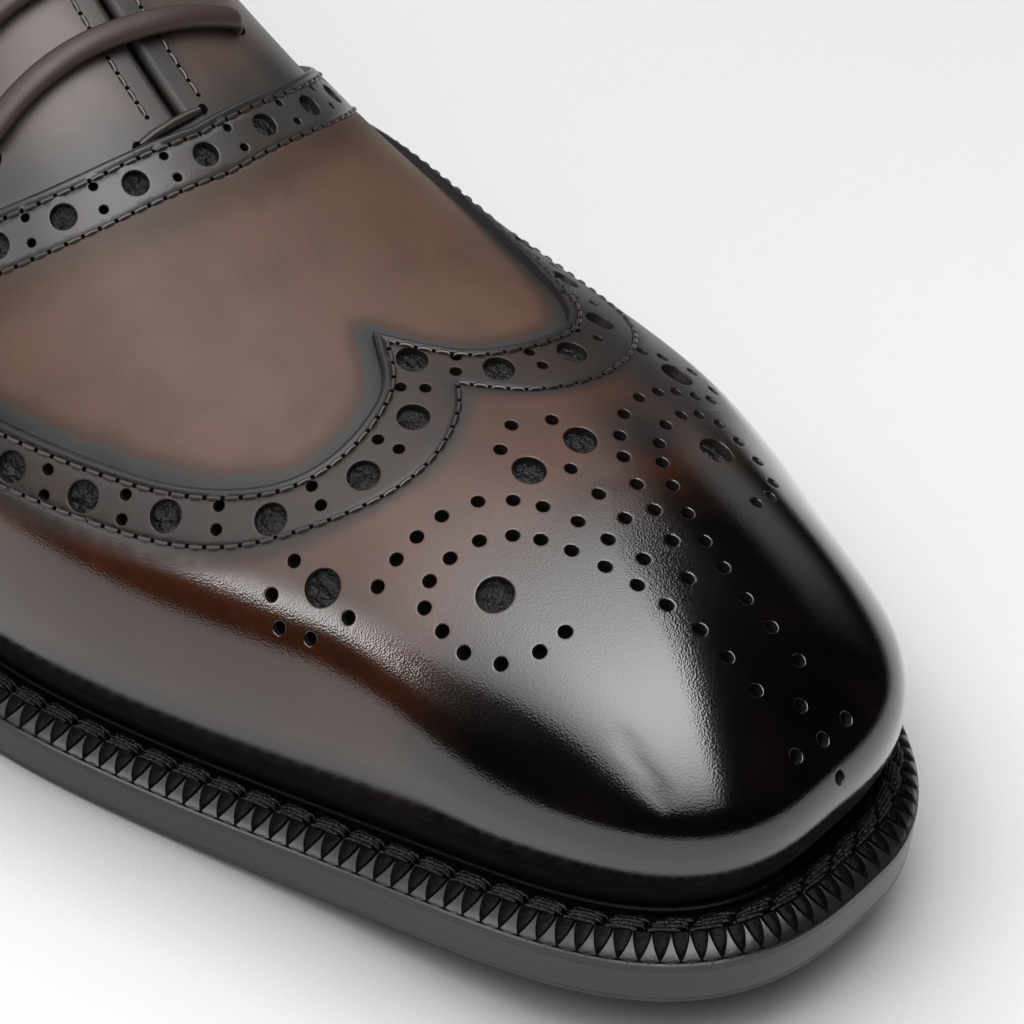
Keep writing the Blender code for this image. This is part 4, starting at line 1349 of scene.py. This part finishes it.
def build_welt():
    """The welt: bead beside the upper, thread channel, edge wheeled into pointed teeth, waxed thread."""
    fine = np.linspace(0, 3, 2401)
    plain = feather_loop(fine, lambda x, y: 0 * x)
    outer = feather_loop(fine, sole_margin)
    margin = np.linalg.norm((outer - plain)[:, :2], axis=1)
    outward = (outer - plain) / margin[:, None]
    lengths = lengths_along(np.concatenate([outer, outer[:1]]))
    whole = lengths[-1]
    count = int(round(whole / TOOTH_PITCH))
    pitch = whole / count

    def at(place, values):
        return np.interp(place, lengths[:-1], values, period=whole)

    def ring(share, rise, width=0.94, height=0.0):
        """Return one loop of the welt, with its stations drawn together where the teeth are narrow."""
        across = np.array([-1 / width] + [spot for spot, _ in TOOTH_ACROSS]) * width
        crown = np.array([0.0] + [tall for _, tall in TOOTH_ACROSS]) * height * TOOTH_HEIGHT
        place = ((np.arange(count)[:, None] + 0.5 + across[None, :] / 2) * pitch).ravel()
        toothed = smooth(*TOOTHED_MARGIN, at(place, margin))
        level = WELT_TOP + (rise - WELT_TOP) * (toothed if rise > WELT_FLOOR + 0.2 else 1.0)
        reach = share * at(place, margin) if share > 0 else np.full(len(place), WELT_INNER)
        loop = np.stack([at(place, plain[:, i]) + reach * at(place, outward[:, i]) for i in range(3)], -1)
        loop[:, 2] += level + np.tile(crown, count) * toothed
        return loop

    rows = ((0, WELT_TOP), *WELT_INSIDE, *WELT_TEETH, *WELT_OUTSIDE, (0, WELT_OUTSIDE[-1][1]))
    loops = [ring(*row) for row in rows]
    total = len(loops[0])
    first = 1 + len(WELT_INSIDE)
    last = first + len(WELT_TEETH)
    per_tooth = len(TOOTH_ACROSS) + 1
    between = np.isin(np.arange(total) % per_tooth, (0, per_tooth - 1))
    band = np.arange(len(loops) - 1)[:, None]
    edge = (band >= last) | ((band >= first) & between)
    parts = MeshParts()
    parts.add(np.concatenate(loops), loop_faces(len(loops), total)[:, ::-1], edge.ravel().astype(int))
    parts.build("welt_strip", [WELT, WELT_EDGE], ["welt"], "welt_leather", sharp=28)

    # Waxed thread: one stitch of several strands over two teeth
    thread = MeshParts()
    places = np.flatnonzero(margin > TOOTHED_MARGIN[1])
    for aside, rise, phase in THREAD_STRANDS:
        line = plain[places] + outward[places] * (THREAD_SHARE * margin[places] + aside)[:, None]
        line[:, 2] += WELT_TOP + rise
        up = np.broadcast_to(np.array([0.0, 0.0, 1.0]), line.shape)
        stitch_parts(thread, line, up, 2 * pitch, THREAD_LENGTH * pitch, THREAD_RADIUS, 0.0, phase)
    thread.build("welt_stitches", [WELT_THREAD], [], "welt_leather")


def sole_loop(offset, rise):
    """Return the feather line, offset in plan and moved up or down, never below the floor."""
    loop = feather_loop(SOLE_STATIONS, offset)
    loop[:, 2] = np.maximum(loop[:, 2] + rise, 0.0)
    return loop


def build_outsole():
    """The leather sole: its edge, slightly rounded, with a fine lip at the bottom, and its tread."""
    loops = [sole_loop(lambda x, y: 0 * x + offset, rise) for offset, rise in SOLE_INNER]
    loops += [sole_loop(lambda x, y: sole_margin(x, y) - inset, rise) for inset, rise in SOLE_PROFILE]
    parts = MeshParts()
    parts.add_stack(loops, 1)
    parts.build("sole", [SOLE_EDGE, TREAD], ["outsole"], "outsole_leather", sharp=32)


def build_insole():
    """The insole with its sock, its top edge bevelled."""
    parts = MeshParts()
    parts.add_stack([sole_loop(lambda x, y: 0 * x + offset, rise) for offset, rise in INSOLE_PROFILE])
    parts.build("insole_sock", [INSOLE], ["insole"], "insole_leather", sharp=35)


HEEL_POINTS = 90
HEEL_TOP_INSET = 0.7
HEEL_FLOOR_INSET = 2.2
HEEL_GAP = 0.3
HEEL_LIFTS = 4
# One lift of the stack: share of its height, depth of the groove
HEEL_LIFT_EDGE = ((0.0, 0.18), (0.05, 0.0), (0.95, 0.0), (1.0, 0.18))
# The wearing piece: inset added at its top edge, that edge's bevel, then inset and height at its foot
TOP_LIFT_INSET = 0.25
TOP_LIFT_BEVEL = 0.3
TOP_LIFT_FOOT = ((2.1, 0.4), (2.5, 0.0))


def heel_loop(less, height=None):
    """Return the sole's outline behind the breast, less an inset, on the feather line or at a height."""
    stations = joined((0, along_at(HEEL_BREAST), 3), (HEEL_POINTS, 120))
    loop = feather_loop(stations, lambda x, y: sole_margin(x, y) - less)
    loop = np.concatenate([loop[:HEEL_POINTS], loop[1 - HEEL_POINTS:]])
    if height is not None:
        loop[:, 2] = height
    return loop


def build_heel():
    """The stacked heel with its lifts, and the wearing piece on the floor."""
    lower = TOP_LIFT + HEEL_GAP
    upper = heel_loop(HEEL_TOP_INSET)[:, 2] + SOLE_TREAD - HEEL_GAP
    share = lower / float(SECTION["feather"](0.0) + SOLE_TREAD)
    lower_inset = HEEL_FLOOR_INSET + share * (HEEL_TOP_INSET - HEEL_FLOOR_INSET)
    loops = []
    for lift in range(HEEL_LIFTS):
        for edge, groove in HEEL_LIFT_EDGE:
            t = (lift + edge) / HEEL_LIFTS
            inset = HEEL_TOP_INSET + t * (lower_inset - HEEL_TOP_INSET)
            loops.append(heel_loop(inset + groove, upper + (lower - upper) * t))
    parts = MeshParts()
    parts.add_stack(loops)
    parts.build("heel", [HEEL], ["heel_stack"], "heel_leather", sharp=30)
    bevel_rows = ((lower_inset + TOP_LIFT_INSET, TOP_LIFT), (lower_inset, TOP_LIFT - TOP_LIFT_BEVEL))
    rubber = MeshParts()
    rubber.add_stack([heel_loop(inset, height) for inset, height in (*bevel_rows, *TOP_LIFT_FOOT)])
    rubber.build("heel_lift", [RUBBER], ["heel_top_lift"], "top_lift_rubber", sharp=30)


# Stitching of the upper

SEAM_PITCH = 2.35
SEAM_LENGTH = 0.86 * SEAM_PITCH
SEAM_RADIUS = 0.33
SEAM_SINK = 0.03
SEAM_DEPTH = 0.19
SEAM_PRICK = 0.36
SLIT_SEAM = (178.5, 122.0)
SLIT_SEAM_GIRTH = 4.3
SLIT_SEAM_RISE = 0.12
COLLAR_SEAM_FRONT = 117.0
COLLAR_SEAM_DROP = 0.055
COLLAR_SEAM_RISE = 0.02
SEAM_STEP = 0.5
SLIT_BAR = ((180.9, -8.0), (180.3, 3.4))
SLIT_BAR_RISE = 0.25
SLIT_BAR_SPAN = 11.4
SLIT_BAR_LENGTH = 11.6
SLIT_BAR_RADIUS = 0.72
SLIT_BAR_SINK = 0.05
SLIT_BAR_PRICKS = 11.2
SLIT_BAR_PRICK = 0.75


def build_stitches():
    """Thread along the edges of wing, vamp, slit and collar, and the bar at the slit's foot."""
    parts = MeshParts()
    rows = [
        (offset_line(WING_LINE, EDGE_STITCHES), WING_LIFT, 1.0),
        (WING_ROW_LINE, WING_LIFT, 1.0),
        (offset_line(VAMP_LINE, EDGE_STITCHES), VAMP_LIFT, 1.0),
        (VAMP_ROW_LINE, VAMP_LIFT, 1.0),
    ]
    x = np.linspace(*SLIT_SEAM, 120)
    for girth in (-SLIT_SEAM_GIRTH, SLIT_SEAM_GIRTH):
        rows.append((np.stack([x, np.full(len(x), girth)], -1), QUARTER_LIFT + SLIT_SEAM_RISE, 0.0))
    for row, lift, formed in rows:
        flat = resample(row, SEAM_STEP)
        line, normals = on_skin(flat, lift - SEAM_DEPTH + formed * form_lift(flat))
        stitch_parts(parts, line, normals, SEAM_PITCH, SEAM_LENGTH, SEAM_RADIUS, SEAM_SINK)
        needle_parts(parts, line + normals * SEAM_SINK, normals, SEAM_PITCH, SEAM_PRICK)
    stations = joined((0, 1, along_at(COLLAR_SEAM_FRONT)), (120, 160))
    for side in (-1.0, 1.0):
        edge = np.array([top_edge(along, side) for along in stations])
        points, normals = section_frame(stations, side * (edge + COLLAR_SEAM_DROP))
        line = points + normals * (QUARTER_LIFT + COLLAR_SEAM_RISE)
        stitch_parts(parts, line, normals, SEAM_PITCH, SEAM_LENGTH, SEAM_RADIUS, SEAM_SINK)
    # Bar across the foot of the slit, one thick stitch between two pricks
    line, normals = on_skin(np.linspace(*SLIT_BAR, 60), QUARTER_LIFT + SLIT_BAR_RISE)
    stitch_parts(parts, line, normals, SLIT_BAR_SPAN, SLIT_BAR_LENGTH, SLIT_BAR_RADIUS, SLIT_BAR_SINK)
    needle_parts(parts, line + normals * SLIT_BAR_SINK, normals, SLIT_BAR_PRICKS, SLIT_BAR_PRICK)
    parts.build("seam_stitches", [THREAD, PAINTED_HOLE_SHADE], [], "wing_leather")


build_wing()
build_vamp()
build_quarters()
build_tongue()
build_lace()
build_welt()
build_outsole()
build_insole()
build_heel()
build_stitches()


# Stage: floor, light and camera, in metres

FLOOR_HALF = 4.0
FLOOR_COLOUR = (0.665, 0.675, 0.67)
FLOOR_ROUGHNESS = 0.6
# The floor's painted contact shadow, darkening its colour where something stands close: reach, openness that
# shades most, what is left of the colour
FLOOR_SHADE_REACH = 0.028
FLOOR_CLOSED = 0.45
FLOOR_SHADED = 0.3
WORLD_COLOUR = (0.9, 0.95, 1.0, 1)
WORLD_STRENGTH = 0.008
SCRIM_HEIGHT = 1.0
SCRIM_PLAN = (
    (-2.2, 2.1), (-2.2, -0.6), (-0.8, -1.25), (-0.02, -1.2), (0.9, -1.17), (1.25, -0.8), (1.35, -0.3),
    (1.0, -0.15), (0.64, 0.06), (0.41, 0.25), (-0.2, 0.73), (-0.5, 0.85), (-1.0, 1.1), (-1.6, 1.9),
)
STRIP_HEIGHT = 0.99
STRIP_PLAN = ((-0.42, -0.8), (-0.5, -2.25), (-0.16, -2.25), (-0.05, -0.8))
BACK_PANEL = ((-0.9, 1.6, 0.3), (0.5, 1.6, 0.3), (0.5, 1.6, 1.15), (-0.9, 1.6, 1.15))
# Light panels: a scrim overhead, brightest over the toe, a strip beside, a dim panel behind.
# Each has corners, a base glow, an extra glow, and the extra's ramps: axis, nothing at, full at.
LIGHTS = (
    ("scrim", [(x, y, SCRIM_HEIGHT) for x, y in SCRIM_PLAN], 1.0, 5.0,
     (("X", -0.35, 0.3), ("X", 1.35, 0.38), ("Y", -1.35, -0.05))),
    ("strip", [(x, y, STRIP_HEIGHT) for x, y in STRIP_PLAN], 1.4, 6.5, (("Y", -0.7, -1.7),)),
    ("back_panel", BACK_PANEL, 0.02, 0.38, (("Z", 0.25, 0.75), ("X", 0.55, -0.3))),
)


def stage_sheet(name, corners, material):
    """Return a flat sheet of the stage from its corners."""
    mesh = bpy.data.meshes.new(name)
    mesh.from_pydata(corners, [], [tuple(range(len(corners)))])
    mesh.materials.append(material)
    obj = bpy.data.objects.new(name, mesh)
    bpy.context.scene.collection.objects.link(obj)
    return obj


def floor_material():
    """Return a pale floor with a painted contact shadow: its colour darkens by occlusion where something
    stands close.
    """
    finish = Finish("pale_floor")
    finish.set(Roughness=FLOOR_ROUGHNESS)
    close = finish.nodes.new("ShaderNodeAmbientOcclusion")
    close.samples = 4
    close.inputs["Distance"].default_value = FLOOR_SHADE_REACH
    colour = finish.nodes.new("ShaderNodeVectorMath")
    colour.operation = "SCALE"
    colour.inputs[0].default_value = FLOOR_COLOUR
    # The occlusion scales the floor's colour: a painted contact shadow
    shade = finish.mapped(close.outputs["AO"], (FLOOR_CLOSED, 1.0), (FLOOR_SHADED, 1.0))
    finish.links.new(shade, colour.inputs["Scale"])
    finish.links.new(colour.outputs["Vector"], finish.shader.inputs["Base Color"])
    return finish.material


def glow_material(name, base, extra, ramps):
    """Return a glow: a base strength plus an extra one faded by ramps of axis, nothing at, full at."""
    finish = Finish(name)
    finish.nodes.remove(finish.shader)
    glow = finish.nodes.new("ShaderNodeEmission")
    finish.links.new(glow.outputs["Emission"], finish.nodes["Material Output"].inputs["Surface"])
    space = finish.nodes.new("ShaderNodeTexCoord")
    axes = finish.nodes.new("ShaderNodeSeparateXYZ")
    finish.links.new(space.outputs["Object"], axes.inputs["Vector"])
    fades = [finish.mapped(axes.outputs[axis], (nothing, full), (0.0, 1.0), "SMOOTHSTEP")
             for axis, nothing, full in ramps]
    product = fades[0]
    for fade in fades[1:]:
        product = finish.maths("MULTIPLY", product, fade)
    finish.links.new(finish.maths("MULTIPLY_ADD", extra, product, base), glow.inputs["Strength"])
    return finish.material


FLOOR_CORNERS = [(x * FLOOR_HALF, y * FLOOR_HALF, 0) for x, y in ((-1, -1), (1, -1), (1, 1), (-1, 1))]
stage_sheet("floor", FLOOR_CORNERS, floor_material())
for name, corners, base, extra, ramps in LIGHTS:
    panel = stage_sheet(name, corners, glow_material(f"{name}_glow", base, extra, ramps))
    # A panel lights the shoe but doesn't stand in the camera's way
    panel.visible_camera = False

world = bpy.data.worlds.new("studio")
bpy.context.scene.world = world
world.use_nodes = True
background = world.node_tree.nodes["Background"]
background.inputs["Color"].default_value = WORLD_COLOUR
background.inputs["Strength"].default_value = WORLD_STRENGTH

CAMERA_PLACE = (0.28356, -0.19433, 0.28561)
CAMERA_BEARING = math.radians(44.428)
CAMERA_ELEVATION = math.radians(41.791)
CAMERA_ROLL = math.radians(4.154)
CAMERA_LENS = 102.08
CAMERA_SENSOR = 36.0
CAMERA_NEAR = 0.01
camera = bpy.data.cameras.new("camera")
camera.lens = CAMERA_LENS
camera.sensor_width = CAMERA_SENSOR
camera.clip_start = CAMERA_NEAR
camera_object = bpy.data.objects.new("camera", camera)
bearing = Matrix.Rotation(CAMERA_BEARING, 4, "Z")
tilt_down = Matrix.Rotation(QUARTER_TURN - CAMERA_ELEVATION, 4, "X")
roll = Matrix.Rotation(CAMERA_ROLL, 4, "Z")
camera_object.matrix_world = Matrix.Translation(CAMERA_PLACE) @ bearing @ tilt_down @ roll
bpy.context.scene.collection.objects.link(camera_object)
bpy.context.scene.camera = camera_object
bpy.context.scene.view_settings.view_transform = "Standard"
